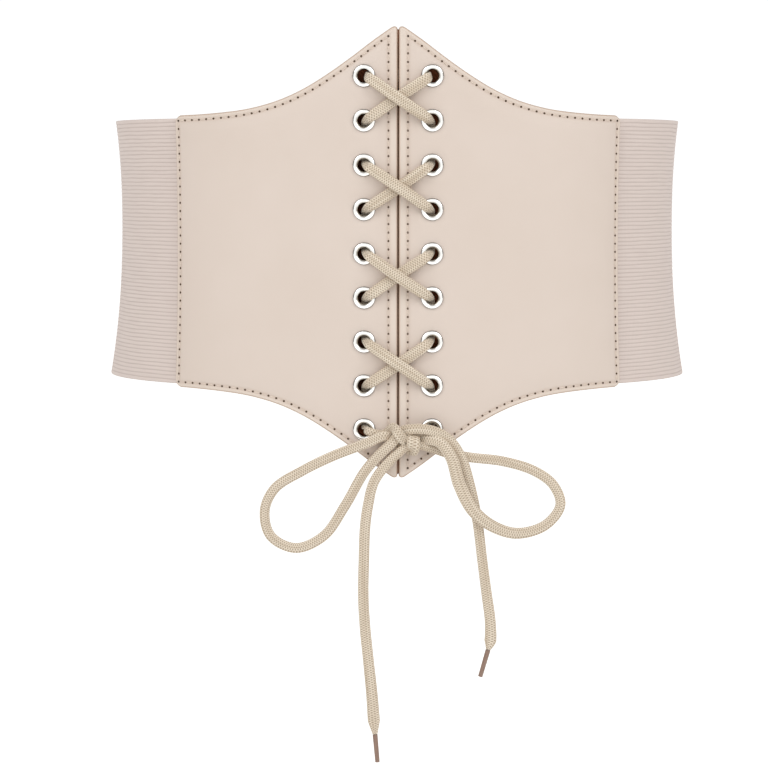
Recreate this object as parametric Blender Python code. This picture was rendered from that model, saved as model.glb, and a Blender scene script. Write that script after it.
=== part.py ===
"""A corset belt with a laced front, as it is worn: it stands open as a ring round an empty waist.

The script works in metres, +Z up. The front faces -Y and the wearer's hollow is centred on the origin.
Left is -X and right is +X, as a viewer sees the front. Each place on the belt is given by three lengths:
its arc, measured along the waist from the front centre, its height, and its lift, outwards from the waist.
"""

import bisect
import math

import bmesh
import bpy
from mathutils import Matrix, Vector

MM = 0.001

# The waist that the belt goes round
WAIST_HALF_WIDTH = 130.1 * MM
WAIST_HALF_DEPTH = 93.4 * MM
WAIST_SQUARENESS = 2.3
NARROWEST_HEIGHT = 16.0 * MM
TOP_FLARE = 2.6 * MM
BOTTOM_FLARE = 6.2 * MM
FLARE_POWER = 2.2
SIDE_FLARE_POWER = 5
DEPTH_FLARE_SHARE = 0.2

# The elastic bands
BAND_HEIGHT = 119.5 * MM
BAND_WALL = 1.3 * MM
BAND_TUCK = 12.0 * MM
BACK_GAP = 1.0 * MM

# The leather panels and the leather strip at the back
PANEL_WIDTH = 102.4 * MM
PANEL_WALL = 2.0 * MM
POINT_HEIGHT = 201.0 * MM
SIDE_HEIGHT = 122.0 * MM
CENTRE_GAP = 1.0 * MM
POINT_ROUNDING = 3.0 * MM
SIDE_ROUNDING = 3.5 * MM
CLOSURE_WIDTH = 24.0 * MM
CLOSURE_ROUNDING = 2.5 * MM

# The dark cloth strip behind the lacing, sewn to the left panel's back along one side
MODESTY_WALL = 1.0 * MM
MODESTY_REACH = 21.0 * MM
MODESTY_SEAM_ARC = 34.0 * MM
MODESTY_MARGIN = 8.0 * MM
MODESTY_STEP = 6.0 * MM
MODESTY_INSET = 2.4 * MM

# The eyelets and their rows
EYELET_ROWS = 9
ROW_PITCH = 19.4 * MM
COLUMN_ARC = 14.8 * MM
BORE_RADIUS = 2.65 * MM
BARREL_RADIUS = 3.1 * MM
FLANGE_RADIUS = 4.95 * MM
FLANGE_RISE = 0.7 * MM
FLANGE_LIP_RISE = 0.45 * MM
BACK_FLANGE_RADIUS = 4.3 * MM
BACK_FLANGE_RISE = 0.4 * MM
EYELET_SIDES = 12

# The lace and its tips
LACE_RADIUS = 1.45 * MM
KNOT_HEIGHT = -86.0 * MM
AGLET_LENGTH = 12.5 * MM
AGLET_RADIUS = 1.25 * MM
AGLET_END_RADIUS = 1.05 * MM
AGLET_SIDES = 12

# Clearance between pieces that touch, and between two stretches of lace
CLEARANCE = 0.3 * MM

# How fine the faceted solids are
WAIST_STEPS = 1200
PANEL_COLUMN = 5.8 * MM
PANEL_ROWS = 11
BAND_COLUMN = 11.5 * MM
BAND_ROWS = 6
CLOSURE_COLUMNS = 4
MODESTY_ROWS = 8
ROUNDING_STEPS = 3
LONGEST_LACE_STEP = 8.5 * MM
LACE_TURN = math.radians(28)
SHARP_ANGLE = math.radians(35)

LEFT = -1
RIGHT = 1
SIDE_NAMES = {LEFT: "left", RIGHT: "right"}

# A panel's edge between its side and its point: the share of the width from the front centre, and the share
# of the extra height of the point that is left there.
PANEL_EDGE = (
    (0.00, 1.000),
    (0.10, 0.820),
    (0.20, 0.624),
    (0.30, 0.442),
    (0.40, 0.285),
    (0.50, 0.168),
    (0.60, 0.091),
    (0.70, 0.045),
    (0.85, 0.013),
    (1.00, 0.000),
)

# The free lace, from the left eyelet of the lowest row through the knot, round the right loop and down the
# left tail. Each point is x, the distance in front of the panels' face behind the knot, and z, in millimetres.
LEFT_LACE_ROUTE = (
    (-14.8, -2.0, -77.6), (-14.5, 0.4, -77.6), (-13.5, 2.2, -77.5), (-11.4, 3.0, -77.4),
    (-8.4, 2.4, -77.9), (-5.6, 1.7, -78.1), (-3.5, 2.4, -77.1), (-1.9, 4.8, -76.0),
    (-0.7, 7.8, -76.8), (0.8, 9.0, -79.1), (2.5, 7.2, -81.2), (4.1, 4.2, -82.3),
    (6.4, 2.0, -82.8), (9.4, 2.2, -82.1), (13.2, 4.2, -81.4), (18.5, 5.7, -82.5),
    (23.8, 6.4, -89.2), (27.3, 7.6, -101.0), (33.0, 8.6, -112.5), (41.5, 7.6, -120.0),
    (52.6, 6.0, -124.0), (65.0, 5.0, -120.2), (71.6, 4.5, -111.0), (68.5, 4.0, -101.5),
    (60.0, 3.2, -95.4), (46.5, 2.4, -91.0), (32.3, 2.0, -89.6), (23.0, 1.9, -88.7),
    (15.0, 2.7, -86.9), (10.2, 4.1, -85.7), (6.4, 4.8, -85.2), (3.4, 5.1, -86.1),
    (0.2, 5.2, -88.3), (-3.8, 5.2, -91.4), (-10.5, 5.0, -100.0), (-13.3, 4.5, -111.0),
    (-14.6, 4.2, -121.0), (-15.1, 4.0, -135.5), (-15.4, 4.0, -150.5), (-14.6, 4.0, -165.5),
    (-13.1, 4.0, -180.5), (-11.6, 4.0, -195.5), (-10.7, 4.0, -207.5), (-10.2, 4.0, -213.5),
)

# The free lace from the right eyelet of the lowest row through the knot, round the left loop and down the
# right tail.
RIGHT_LACE_ROUTE = (
    (14.8, -2.0, -77.6), (14.5, 0.4, -77.6), (13.5, 2.2, -77.7), (11.6, 2.9, -77.8),
    (9.3, 2.8, -78.0), (7.6, 3.3, -78.6), (6.7, 4.7, -79.7), (6.4, 6.7, -81.2),
    (6.3, 8.2, -83.4), (6.4, 8.2, -86.2), (6.2, 5.7, -88.4), (5.4, 2.7, -88.3),
    (3.4, 1.7, -86.6), (1.0, 1.7, -84.4), (-1.4, 2.0, -82.2), (-3.9, 3.8, -80.5),
    (-6.8, 5.2, -80.0), (-13.3, 5.4, -82.7), (-28.3, 5.2, -88.5), (-42.0, 5.0, -95.2),
    (-54.4, 5.0, -103.2), (-58.8, 5.0, -113.0), (-56.2, 5.0, -124.2), (-45.2, 5.0, -129.6),
    (-32.8, 5.0, -124.2), (-23.4, 5.0, -110.8), (-15.0, 5.0, -96.1), (-9.0, 5.5, -88.8),
    (-5.0, 6.2, -84.9), (-2.4, 6.2, -82.4), (0.0, 5.5, -79.6), (2.6, 5.4, -77.4),
    (6.1, 6.5, -76.4), (10.1, 6.6, -76.4), (14.9, 6.3, -77.2), (19.8, 6.0, -79.3),
    (24.2, 5.8, -83.0), (29.0, 5.6, -90.2), (33.0, 5.2, -101.4), (36.3, 4.6, -117.5),
    (37.7, 4.2, -135.5), (39.3, 4.0, -150.5), (40.9, 4.0, -162.5), (41.0, 4.0, -171.5),
    (40.1, 4.0, -175.2),
)

# Lifts that follow from the walls above
PANEL_BACK_LIFT = BAND_WALL + CLEARANCE
PANEL_FACE_LIFT = PANEL_BACK_LIFT + PANEL_WALL
HELD_LACE_DEPTH = PANEL_WALL + 2 * CLEARANCE + BACK_FLANGE_RISE + LACE_RADIUS
MODESTY_SEAM_LIFT = PANEL_BACK_LIFT - CLEARANCE
MODESTY_FACE_LIFT = PANEL_FACE_LIFT - HELD_LACE_DEPTH - LACE_RADIUS - CLEARANCE


def waist_ring():
    """Walk the waist from the front centre round the right side to the back centre.

    Each row is the arc so far, x and y there, and the outward direction's x and y.
    """
    places = []
    for step in range(WAIST_STEPS + 1):
        turn = math.pi * step / WAIST_STEPS
        x = WAIST_HALF_WIDTH * math.sin(turn) ** (2 / WAIST_SQUARENESS) if 0 < step < WAIST_STEPS else 0.0
        depth = abs(math.cos(turn)) ** (2 / WAIST_SQUARENESS)
        y = -math.copysign(WAIST_HALF_DEPTH * depth, math.cos(turn))
        places.append((x, y))
    rows = []
    arc = 0.0
    for index, (x, y) in enumerate(places):
        before = places[max(index - 1, 0)]
        after = places[min(index + 1, WAIST_STEPS)]
        along = Vector((after[0] - before[0], after[1] - before[1])).normalized()
        if index in (0, WAIST_STEPS):
            along = Vector((1.0 if index == 0 else -1.0, 0.0))
        if index:
            arc += math.dist(before, (x, y))
        rows.append((arc, x, y, along.y, -along.x))
    return rows


RING = waist_ring()
RING_ARCS = [row[0] for row in RING]
HALF_ROUND = RING_ARCS[-1]


def flare(height):
    """How far the sides stand out at a height, past the waist's narrowest line."""
    if height > NARROWEST_HEIGHT:
        reach = (height - NARROWEST_HEIGHT) / (BAND_HEIGHT / 2 - NARROWEST_HEIGHT)
        return TOP_FLARE * reach ** FLARE_POWER
    reach = (NARROWEST_HEIGHT - height) / (BAND_HEIGHT / 2 + NARROWEST_HEIGHT)
    return BOTTOM_FLARE * reach ** FLARE_POWER


def waist_point(arc, height, lift):
    """A point at an arc from the front centre, to the right or, when negative, the left."""
    if arc > HALF_ROUND:
        arc -= 2 * HALF_ROUND
    place = min(max(bisect.bisect_right(RING_ARCS, abs(arc)), 1), len(RING) - 1)
    before, after = RING[place - 1], RING[place]
    share = (abs(arc) - before[0]) / (after[0] - before[0])
    x, y, out_x, out_y = (before[k] + share * (after[k] - before[k]) for k in range(1, 5))
    spread = flare(height)
    x += spread * (x / WAIST_HALF_WIDTH) ** SIDE_FLARE_POWER
    y *= 1 + DEPTH_FLARE_SHARE * spread / WAIST_HALF_DEPTH
    side = LEFT if arc < 0 else RIGHT
    return Vector((side * (x + lift * out_x), y + lift * out_y, height))


def surface_frame(arc, height, lift):
    """The place and turn of a piece that sits on the belt, with its own Z pointing outwards."""
    probe = 1.0 * MM
    along = waist_point(arc + probe, height, lift) - waist_point(arc - probe, height, lift)
    rising = waist_point(arc, height + probe, lift) - waist_point(arc, height - probe, lift)
    out = along.cross(rising).normalized()
    across = along.normalized()
    up = out.cross(across)
    turn = Matrix((across, up, out)).transposed().to_4x4()
    return Matrix.Translation(waist_point(arc, height, lift)) @ turn


def smooth_table(rows, x):
    """Read a table of x and y pairs as one smooth curve."""
    place = min(max(bisect.bisect_right([row[0] for row in rows], x), 1), len(rows) - 1)

    def slope(index):
        first, last = rows[max(index - 1, 0)], rows[min(index + 1, len(rows) - 1)]
        return (last[1] - first[1]) / (last[0] - first[0])

    (x0, y0), (x1, y1) = rows[place - 1], rows[place]
    width = x1 - x0
    t = (x - x0) / width
    return (
        y0 * (1 + 2 * t) * (1 - t) ** 2
        + y1 * t * t * (3 - 2 * t)
        + slope(place - 1) * width * t * (1 - t) ** 2
        - slope(place) * width * t * t * (1 - t)
    )


def rounded_off(distance, radius):
    """How much a corner of this radius takes off an edge, at a distance from the corner's side."""
    if distance >= radius:
        return 0.0
    return radius - math.sqrt(max(radius * radius - (radius - distance) ** 2, 0.0))


def panel_edge_height(arc):
    """Half the height of a panel, before its corners are rounded, at an arc from the front centre."""
    share = smooth_table(PANEL_EDGE, arc / PANEL_WIDTH)
    return SIDE_HEIGHT / 2 + share * (POINT_HEIGHT - SIDE_HEIGHT) / 2


def panel_half_height(arc):
    """Half the height of a panel at an arc from the front centre."""
    half = panel_edge_height(arc)
    half -= rounded_off(arc - CENTRE_GAP / 2, POINT_ROUNDING)
    return half - rounded_off(PANEL_WIDTH - arc, SIDE_ROUNDING)


def spaced(first, last, longest):
    """Even places from first to last, no further apart than longest."""
    count = math.ceil((last - first) / longest)
    return [first + (last - first) * step / count for step in range(count + 1)]


def rounded_columns(first, last, first_radius, last_radius, longest):
    """Even places from first to last, closer together along the rounded corners."""
    steps = range(ROUNDING_STEPS)
    start = [first + first_radius * (1 - math.cos(math.pi / 2 * step / ROUNDING_STEPS)) for step in steps]
    end = [last - last_radius * (1 - math.cos(math.pi / 2 * step / ROUNDING_STEPS)) for step in steps]
    return start + spaced(first + first_radius, last - last_radius, longest) + end[::-1]


def make_material(name, red, green, blue, metallic, roughness):
    """A Principled material with one colour, roughness and metallic value."""
    material = bpy.data.materials.new(name)
    material.use_nodes = True
    shader = material.node_tree.nodes["Principled BSDF"]
    shader.inputs["Base Color"].default_value = (red, green, blue, 1.0)
    shader.inputs["Metallic"].default_value = metallic
    shader.inputs["Roughness"].default_value = roughness
    material.diffuse_color = (red, green, blue, 1.0)
    return material


def add_object(name, data, material):
    """Put a mesh or a curve in the scene under a node's name."""
    made = bpy.data.objects.new(name, data)
    if material.name not in data.materials:
        data.materials.append(material)
    bpy.context.scene.collection.objects.link(made)
    return made


def curved_wall(name, arcs, half_height, rows, back_lift, face_lift, material, sink=None):
    """A wall of even thickness that follows the waist, with one column of points at each arc.

    Where sink is given, it says how far inwards the whole wall is set at an arc.
    """
    mesh = bpy.data.meshes.new(name)
    solid = bmesh.new()
    layers = []
    for lift in (back_lift, face_lift):
        grid = []
        for arc in arcs:
            half = half_height(abs(arc))
            heights = [half * (2 * row / rows - 1) for row in range(rows + 1)]
            set_in = sink(arc) if sink else 0.0
            grid.append([solid.verts.new(waist_point(arc, height, lift - set_in)) for height in heights])
        layers.append(grid)
    last = len(arcs) - 1
    for grid in layers:
        for column in range(last):
            for row in range(rows):
                near, far = grid[column], grid[column + 1]
                solid.faces.new((near[row], far[row], far[row + 1], near[row + 1]))
    back, face = layers
    for column in range(last):
        for row in (0, rows):
            rim = (back[column][row], back[column + 1][row], face[column + 1][row], face[column][row])
            solid.faces.new(rim)
    for column in (0, last):
        for row in range(rows):
            rim = (back[column][row], back[column][row + 1], face[column][row + 1], face[column][row])
            solid.faces.new(rim)
    bmesh.ops.recalc_face_normals(solid, faces=solid.faces)
    solid.to_mesh(mesh)
    solid.free()
    mesh.shade_smooth()
    mesh.set_sharp_from_angle(angle=SHARP_ANGLE)
    return add_object(name, mesh, material)


def row_height(row):
    """The height of an eyelet row, counted from 1 at the top."""
    return ((EYELET_ROWS + 1) / 2 - row) * ROW_PITCH


def turned_mesh(name, profile, sides):
    """A closed ring turned round its own Z from radius and height pairs."""
    mesh = bpy.data.meshes.new(name)
    solid = bmesh.new()
    rings = []
    for radius, height in profile:
        turns = [2 * math.pi * side / sides for side in range(sides)]
        ring = [(radius * math.cos(turn), radius * math.sin(turn), height) for turn in turns]
        rings.append([solid.verts.new(point) for point in ring])
    for index, ring in enumerate(rings):
        following = rings[(index + 1) % len(rings)]
        for side in range(sides):
            turned = (side + 1) % sides
            solid.faces.new((ring[side], ring[turned], following[turned], following[side]))
    bmesh.ops.recalc_face_normals(solid, faces=solid.faces)
    solid.to_mesh(mesh)
    solid.free()
    mesh.shade_smooth()
    mesh.set_sharp_from_angle(angle=SHARP_ANGLE)
    return mesh


def hole_cutter(side):
    """One mesh of plain rods that pierce a panel at each of its eyelets."""
    mesh = bpy.data.meshes.new("eyelet_hole_cutter")
    rods = bmesh.new()
    for row in range(1, EYELET_ROWS + 1):
        place = surface_frame(side * COLUMN_ARC, row_height(row), PANEL_FACE_LIFT)
        middle = Matrix.Translation((0, 0, -PANEL_WALL / 2))
        bmesh.ops.create_cone(
            rods,
            cap_ends=True,
            segments=EYELET_SIDES,
            radius1=BARREL_RADIUS + CLEARANCE,
            radius2=BARREL_RADIUS + CLEARANCE,
            depth=3 * PANEL_WALL,
            matrix=place @ middle,
        )
    rods.to_mesh(mesh)
    rods.free()
    cutter = bpy.data.objects.new("cutter_" + SIDE_NAMES[side], mesh)
    bpy.context.scene.collection.objects.link(cutter)
    cutter.hide_render = True
    cutter.display_type = "WIRE"
    return cutter


def build_panel(side, leather):
    """A shaped leather panel, pierced for its eyelets."""
    arcs = rounded_columns(CENTRE_GAP / 2, PANEL_WIDTH, POINT_ROUNDING, SIDE_ROUNDING, PANEL_COLUMN)
    arcs = [side * arc for arc in arcs]
    name = "front_panel_" + SIDE_NAMES[side]
    panel = curved_wall(
        name, arcs, panel_half_height, PANEL_ROWS, PANEL_BACK_LIFT, PANEL_FACE_LIFT, leather
    )
    holes = panel.modifiers.new("eyelet_holes", "BOOLEAN")
    holes.operation = "DIFFERENCE"
    holes.solver = "EXACT"
    holes.object = hole_cutter(side)


def build_elastic(side, weave):
    """An elastic band, tucked behind its panel and running round to the middle of the back."""
    first = PANEL_WIDTH - BAND_TUCK
    arcs = [side * arc for arc in spaced(first, HALF_ROUND - BACK_GAP / 2, BAND_COLUMN)]
    name = "elastic_" + SIDE_NAMES[side]
    curved_wall(name, arcs, lambda arc: BAND_HEIGHT / 2, BAND_ROWS, 0.0, BAND_WALL, weave)


def build_back_closure(leather):
    """The plain strip over the ends of the elastic."""
    first = HALF_ROUND - CLOSURE_WIDTH / 2
    last = HALF_ROUND + CLOSURE_WIDTH / 2
    longest = CLOSURE_WIDTH / CLOSURE_COLUMNS
    arcs = rounded_columns(first, last, CLOSURE_ROUNDING, CLOSURE_ROUNDING, longest)

    def half_height(arc):
        return BAND_HEIGHT / 2 - rounded_off(min(arc - first, last - arc), CLOSURE_ROUNDING)

    curved_wall("back_closure", arcs, half_height, BAND_ROWS, PANEL_BACK_LIFT, PANEL_FACE_LIFT, leather)


def build_modesty_panel(cloth):
    """The cloth strip behind the lacing: its left margin lies on a panel, the rest behind the lace."""
    seam_end = -MODESTY_SEAM_ARC + MODESTY_MARGIN
    arcs = spaced(-MODESTY_SEAM_ARC, seam_end, PANEL_COLUMN)
    arcs += spaced(seam_end + MODESTY_STEP, MODESTY_REACH, PANEL_COLUMN)

    def half_height(arc):
        return panel_edge_height(arc) - MODESTY_INSET

    def sink(arc):
        return 0.0 if arc <= seam_end else MODESTY_SEAM_LIFT - MODESTY_FACE_LIFT

    back_lift = MODESTY_SEAM_LIFT - MODESTY_WALL
    curved_wall(
        "modesty_panel", arcs, half_height, MODESTY_ROWS, back_lift, MODESTY_SEAM_LIFT, cloth, sink
    )


def build_eyelets(nickel):
    """Two columns of turned eyelets, each with a flange on both sides of the leather."""
    front = CLEARANCE
    back = -PANEL_WALL - CLEARANCE
    profile = (
        (BORE_RADIUS, front + FLANGE_LIP_RISE),
        ((BORE_RADIUS + FLANGE_RADIUS) / 2, front + FLANGE_RISE),
        (FLANGE_RADIUS, front),
        (BARREL_RADIUS, front),
        (BARREL_RADIUS, back),
        (BACK_FLANGE_RADIUS, back),
        (BORE_RADIUS, back - BACK_FLANGE_RISE),
    )
    mesh = turned_mesh("eyelet", profile, EYELET_SIDES)
    for side in (LEFT, RIGHT):
        for row in range(1, EYELET_ROWS + 1):
            eyelet = add_object(f"eyelet_{SIDE_NAMES[side]}_{row}", mesh, nickel)
            eyelet.matrix_world = surface_frame(side * COLUMN_ARC, row_height(row), PANEL_FACE_LIFT)


def smooth_curve(points, step):
    """A smooth curve through all the points, as close points along it."""
    ends = [2 * points[0] - points[1]] + list(points) + [2 * points[-1] - points[-2]]
    curve = []
    for p0, p1, p2, p3 in zip(ends, ends[1:], ends[2:], ends[3:]):
        t1 = (p1 - p0).length ** 0.5
        t2 = t1 + (p2 - p1).length ** 0.5
        t3 = t2 + (p3 - p2).length ** 0.5
        count = max(2, int((p2 - p1).length / step))
        for part in range(count):
            t = t1 + (t2 - t1) * part / count
            a1 = p0.lerp(p1, t / t1)
            a2 = p1.lerp(p2, (t - t1) / (t2 - t1))
            a3 = p2.lerp(p3, (t - t2) / (t3 - t2))
            b1 = a1.lerp(a2, t / t2)
            b2 = a2.lerp(a3, (t - t1) / (t3 - t1))
            curve.append(b1.lerp(b2, (t - t1) / (t2 - t1)))
    curve.append(points[-1])
    return curve


def thinned(curve):
    """Keep a point of a close curve wherever it has turned, or gone on, far enough."""
    kept = [curve[0]]
    last_way = curve[1] - curve[0]
    gone = 0.0
    for before, point, after in zip(curve, curve[1:], curve[2:]):
        gone += (point - before).length
        way = after - point
        if way.angle(last_way) >= LACE_TURN or gone >= LONGEST_LACE_STEP:
            kept.append(point)
            last_way = way
            gone = 0.0
    if (curve[-1] - kept[-1]).length < LACE_RADIUS / 2 and len(kept) > 2:
        kept.pop()
    kept.append(curve[-1])
    return kept


def build_lace(name, points, braid):
    """A plain tube along a smooth curve through a lace's points. Returns the curve's points."""
    route = thinned(smooth_curve(points, LACE_RADIUS / 4))
    data = bpy.data.curves.new(name, "CURVE")
    data.dimensions = "3D"
    data.resolution_u = 1
    data.bevel_depth = LACE_RADIUS
    data.bevel_resolution = 2
    data.use_fill_caps = True
    spline = data.splines.new("POLY")
    spline.points.add(len(route) - 1)
    for knot, place in zip(spline.points, route):
        knot.co = (*place, 1.0)
    add_object(name, data, braid)
    return route


def lacing_holes():
    """The eyelets that the held lace passes, in order, as pairs of side and row."""
    side = LEFT
    climb = [(side, EYELET_ROWS)]
    for row in range(EYELET_ROWS - 1, 0, -2):
        climb.append((side, row))
        side = -side
        climb.append((side, row - 1))
    return climb + [(-side, row) for side, row in reversed(climb)]


def lacing_points():
    """The route of the held lace: behind the panels between crosses, and across the front in each cross."""
    behind = -HELD_LACE_DEPTH
    over_flange = 2 * CLEARANCE + FLANGE_RISE + LACE_RADIUS
    lower = CLEARANCE + LACE_RADIUS
    upper = lower + 2 * LACE_RADIUS + CLEARANCE
    back_rim = -PANEL_WALL - CLEARANCE
    holes = lacing_holes()
    flat = [Vector((side * COLUMN_ARC, row_height(row))) for side, row in holes]
    # distance from the hole's centre, as a share of the flange's radius, and distance in front of the leather
    back_half = ((0.75, behind), (0.30, behind + 0.2 * MM), (0.06, back_rim - BACK_FLANGE_RISE))
    front_half = ((0.05, CLEARANCE), (0.27, over_flange - 0.6 * MM), (0.72, over_flange))
    points = []
    for index, centre in enumerate(flat):
        comes_from_behind = index % 2 == 1
        back_hole = index - 1 if comes_from_behind else index + 1
        front_hole = index + 1 if comes_from_behind else index - 1
        back_way = (flat[back_hole] - centre).normalized()
        passing = [(centre + back_way * FLANGE_RADIUS * share, out) for share, out in back_half]
        if 0 <= front_hole < len(flat):
            front_way = (flat[front_hole] - centre).normalized()
            passing += [(centre + front_way * FLANGE_RADIUS * share, out) for share, out in front_half]
        else:
            passing.append((centre, back_rim))
        points += passing if comes_from_behind else passing[::-1]
        if comes_from_behind and index + 1 < len(flat):
            rises_to_left = (flat[index + 1] - centre).x * (flat[index + 1] - centre).y < 0
            points.append(((centre + flat[index + 1]) / 2, upper if rises_to_left else lower))
    return [waist_point(flat_place.x, flat_place.y, PANEL_FACE_LIFT + out) for flat_place, out in points]


def free_lace_points(route):
    """A free lace's own points, in metres, set off from the panels' face behind the knot."""
    face = waist_point(0.0, KNOT_HEIGHT, PANEL_FACE_LIFT)
    return [Vector((x * MM, face.y - out * MM, z * MM)) for x, out, z in route]


def build_aglet(name, lace_end, way, brown):
    """A plain tip that carries on from the end of a tail."""
    mesh = bpy.data.meshes.new(name)
    tip = bmesh.new()
    bmesh.ops.create_cone(
        tip,
        cap_ends=True,
        segments=AGLET_SIDES,
        radius1=AGLET_RADIUS,
        radius2=AGLET_END_RADIUS,
        depth=AGLET_LENGTH,
    )
    tip.to_mesh(mesh)
    tip.free()
    mesh.shade_smooth()
    mesh.set_sharp_from_angle(angle=SHARP_ANGLE)
    aglet = add_object(name, mesh, brown)
    turn = way.to_track_quat("Z", "Y").to_matrix().to_4x4()
    middle = lace_end + way * (CLEARANCE + AGLET_LENGTH / 2)
    aglet.matrix_world = Matrix.Translation(middle) @ turn


def build_laces(braid, brown):
    """The held lacing, the two free strands of the bow and their tips."""
    build_lace("lacing", lacing_points(), braid)
    for side, points in ((LEFT, LEFT_LACE_ROUTE), (RIGHT, RIGHT_LACE_ROUTE)):
        route = build_lace("lace_" + SIDE_NAMES[side], free_lace_points(points), braid)
        way = (route[-1] - route[-2]).normalized()
        build_aglet("aglet_" + SIDE_NAMES[side], route[-1], way, brown)


def main():
    """Clear the scene and build the belt."""
    for leftover in list(bpy.data.objects):
        bpy.data.objects.remove(leftover, do_unlink=True)
    leather = make_material("cream_leather", 0.76, 0.65, 0.56, 0.0, 0.45)
    weave = make_material("ribbed_elastic", 0.67, 0.57, 0.53, 0.0, 0.85)
    nickel = make_material("polished_nickel", 0.75, 0.74, 0.72, 1.0, 0.2)
    braid = make_material("beige_braid", 0.62, 0.55, 0.42, 0.0, 0.85)
    brown = make_material("brown_tip", 0.28, 0.19, 0.14, 0.0, 0.4)
    dark_cloth = make_material("dark_brown_cloth", 0.07, 0.05, 0.04, 0.0, 0.9)
    for side in (LEFT, RIGHT):
        build_panel(side, leather)
        build_elastic(side, weave)
    build_back_closure(leather)
    build_modesty_panel(dark_cloth)
    build_eyelets(nickel)
    build_laces(braid, brown)


main()
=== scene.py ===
"""The looks of a laced corset belt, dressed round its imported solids.

Sheet pieces are cut and sewn flat, in millimetres: x is the arc from the front centre, z the height, and -y
the lift off the waist. They are then wrapped round the waist form, which gives metres in the row frame.
Left and right are the viewer's, looking at the front.
"""

import logging
import math
from dataclasses import dataclass, field
from enum import Enum
from functools import cached_property
from typing import ClassVar

import bpy
import numpy as np
from mathutils import Matrix, Vector


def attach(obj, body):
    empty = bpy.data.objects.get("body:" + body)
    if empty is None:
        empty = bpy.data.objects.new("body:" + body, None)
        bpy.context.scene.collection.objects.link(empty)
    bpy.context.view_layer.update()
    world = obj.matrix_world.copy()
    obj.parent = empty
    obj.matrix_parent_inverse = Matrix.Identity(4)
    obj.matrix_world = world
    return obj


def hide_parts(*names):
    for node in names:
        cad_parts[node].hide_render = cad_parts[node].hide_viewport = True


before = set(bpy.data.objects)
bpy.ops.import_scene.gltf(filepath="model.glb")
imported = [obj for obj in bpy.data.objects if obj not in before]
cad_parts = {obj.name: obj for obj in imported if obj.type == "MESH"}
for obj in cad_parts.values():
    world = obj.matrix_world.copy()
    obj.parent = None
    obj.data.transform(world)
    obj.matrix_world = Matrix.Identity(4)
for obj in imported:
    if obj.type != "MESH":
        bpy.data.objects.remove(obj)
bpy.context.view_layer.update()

MM = 0.001
BODY = "root"
LOG = logging.getLogger("corset_belt")
BOARD_WHITE = "#FBFBFA"
# The scale of a wave texture, times the width of one of its bands in metres
WAVES_IN_SCALE = 0.32


class Side(Enum):
    """The two halves of the belt, as the sign of their arcs."""

    LEFT = -1
    RIGHT = 1

    @property
    def label(self) -> str:
        """The word that ends a piece's name."""
        return self.name.lower()


class Slot(Enum):
    """The record's material slots."""

    LEATHER = "leather"
    ELASTIC = "elastic"
    NICKEL = "nickel"
    LACE = "lace"
    TIP = "lace_tip"
    CLOTH = "dark_cloth"


def linear(hex_colour: str) -> tuple[float, float, float, float]:
    """Turn an sRGB hex colour into linear red, green, blue and alpha.

    Args:
        hex_colour: Six hex digits after a number sign.

    Returns:
        The colour as Blender's sockets take it.
    """
    shares = [int(hex_colour[place:place + 2], 16) / 255 for place in (1, 3, 5)]
    straight = [share / 12.92 if share <= 0.04045 else ((share + 0.055) / 1.055) ** 2.4 for share in shares]
    return (*straight, 1.0)


# The output that the script reads from each kind of node, where it isn't the first
READ_OUTPUT = {"Attribute": "Fac", "Mix": 2, "TexCoord": "Object", "TexWave": "Fac"}

# Sockets of a Mix node that mixes colours
MIX_FACTOR = 0
MIX_FIRST = 6
MIX_SECOND = 7


def add_node(
    tree: bpy.types.NodeTree, kind: str, settings: dict | None = None, links: dict | None = None
) -> bpy.types.NodeSocket:
    """Add a node to a tree, with its settings and the links into it.

    Args:
        tree: The nodes of a material or of the world.
        kind: The node's type, without the words that start them all.
        settings: Values by the node's own attribute, or by an input's name or number.
        links: The output that feeds each input, by the input's name or number.

    Returns:
        The output of the new node that is read.
    """
    node = tree.nodes.new("ShaderNode" + kind)
    for name, value in (settings or {}).items():
        if isinstance(name, str) and hasattr(node, name):
            setattr(node, name, value)
        else:
            node.inputs[name].default_value = value
    for name, source in (links or {}).items():
        tree.links.new(source, node.inputs[name])
    return node.outputs[READ_OUTPUT.get(kind, 0)]


@dataclass(frozen=True)
class SurfacePattern:
    """What varies over a finish.

    Tints are colours laid over the finish's own, one on the other, each with the share of it that shows.
    """

    tints: tuple[tuple[str, bpy.types.NodeSocket], ...] = ()
    sockets: dict[str, bpy.types.NodeSocket] = field(default_factory=dict)


class Finish:
    """A surface whose material is made once, when a piece first wears it."""

    name: str
    colour: str
    # Values of the shader's own sockets that are the same all over the surface
    surface: ClassVar[dict] = {}

    @cached_property
    def material(self) -> bpy.types.Material:
        """The Blender material of this finish.

        Returns:
            The material, with its even values set and its pattern linked.
        """
        made = bpy.data.materials.new(self.name)
        made.use_nodes = True
        tree = made.node_tree
        shader = tree.nodes["Principled BSDF"]
        shader.inputs["Base Color"].default_value = linear(self.colour)
        for name, value in self.surface.items():
            shader.inputs[name].default_value = value
        pattern = self.pattern(tree)
        sockets = dict(pattern.sockets)
        under = {}
        for tint, share in pattern.tints:
            settings = {"data_type": "RGBA", MIX_FIRST: linear(self.colour), MIX_SECOND: linear(tint)}
            sockets["Base Color"] = add_node(tree, "Mix", settings, {MIX_FACTOR: share, **under})
            under = {MIX_FIRST: sockets["Base Color"]}
        for name, source in sockets.items():
            tree.links.new(source, shader.inputs[name])
        return made

    def pattern(self, tree: bpy.types.NodeTree) -> SurfacePattern:
        """Add the nodes of what varies over the surface.

        Args:
            tree: The material's nodes.

        Returns:
            What they feed.
        """
        raise NotImplementedError


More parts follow.
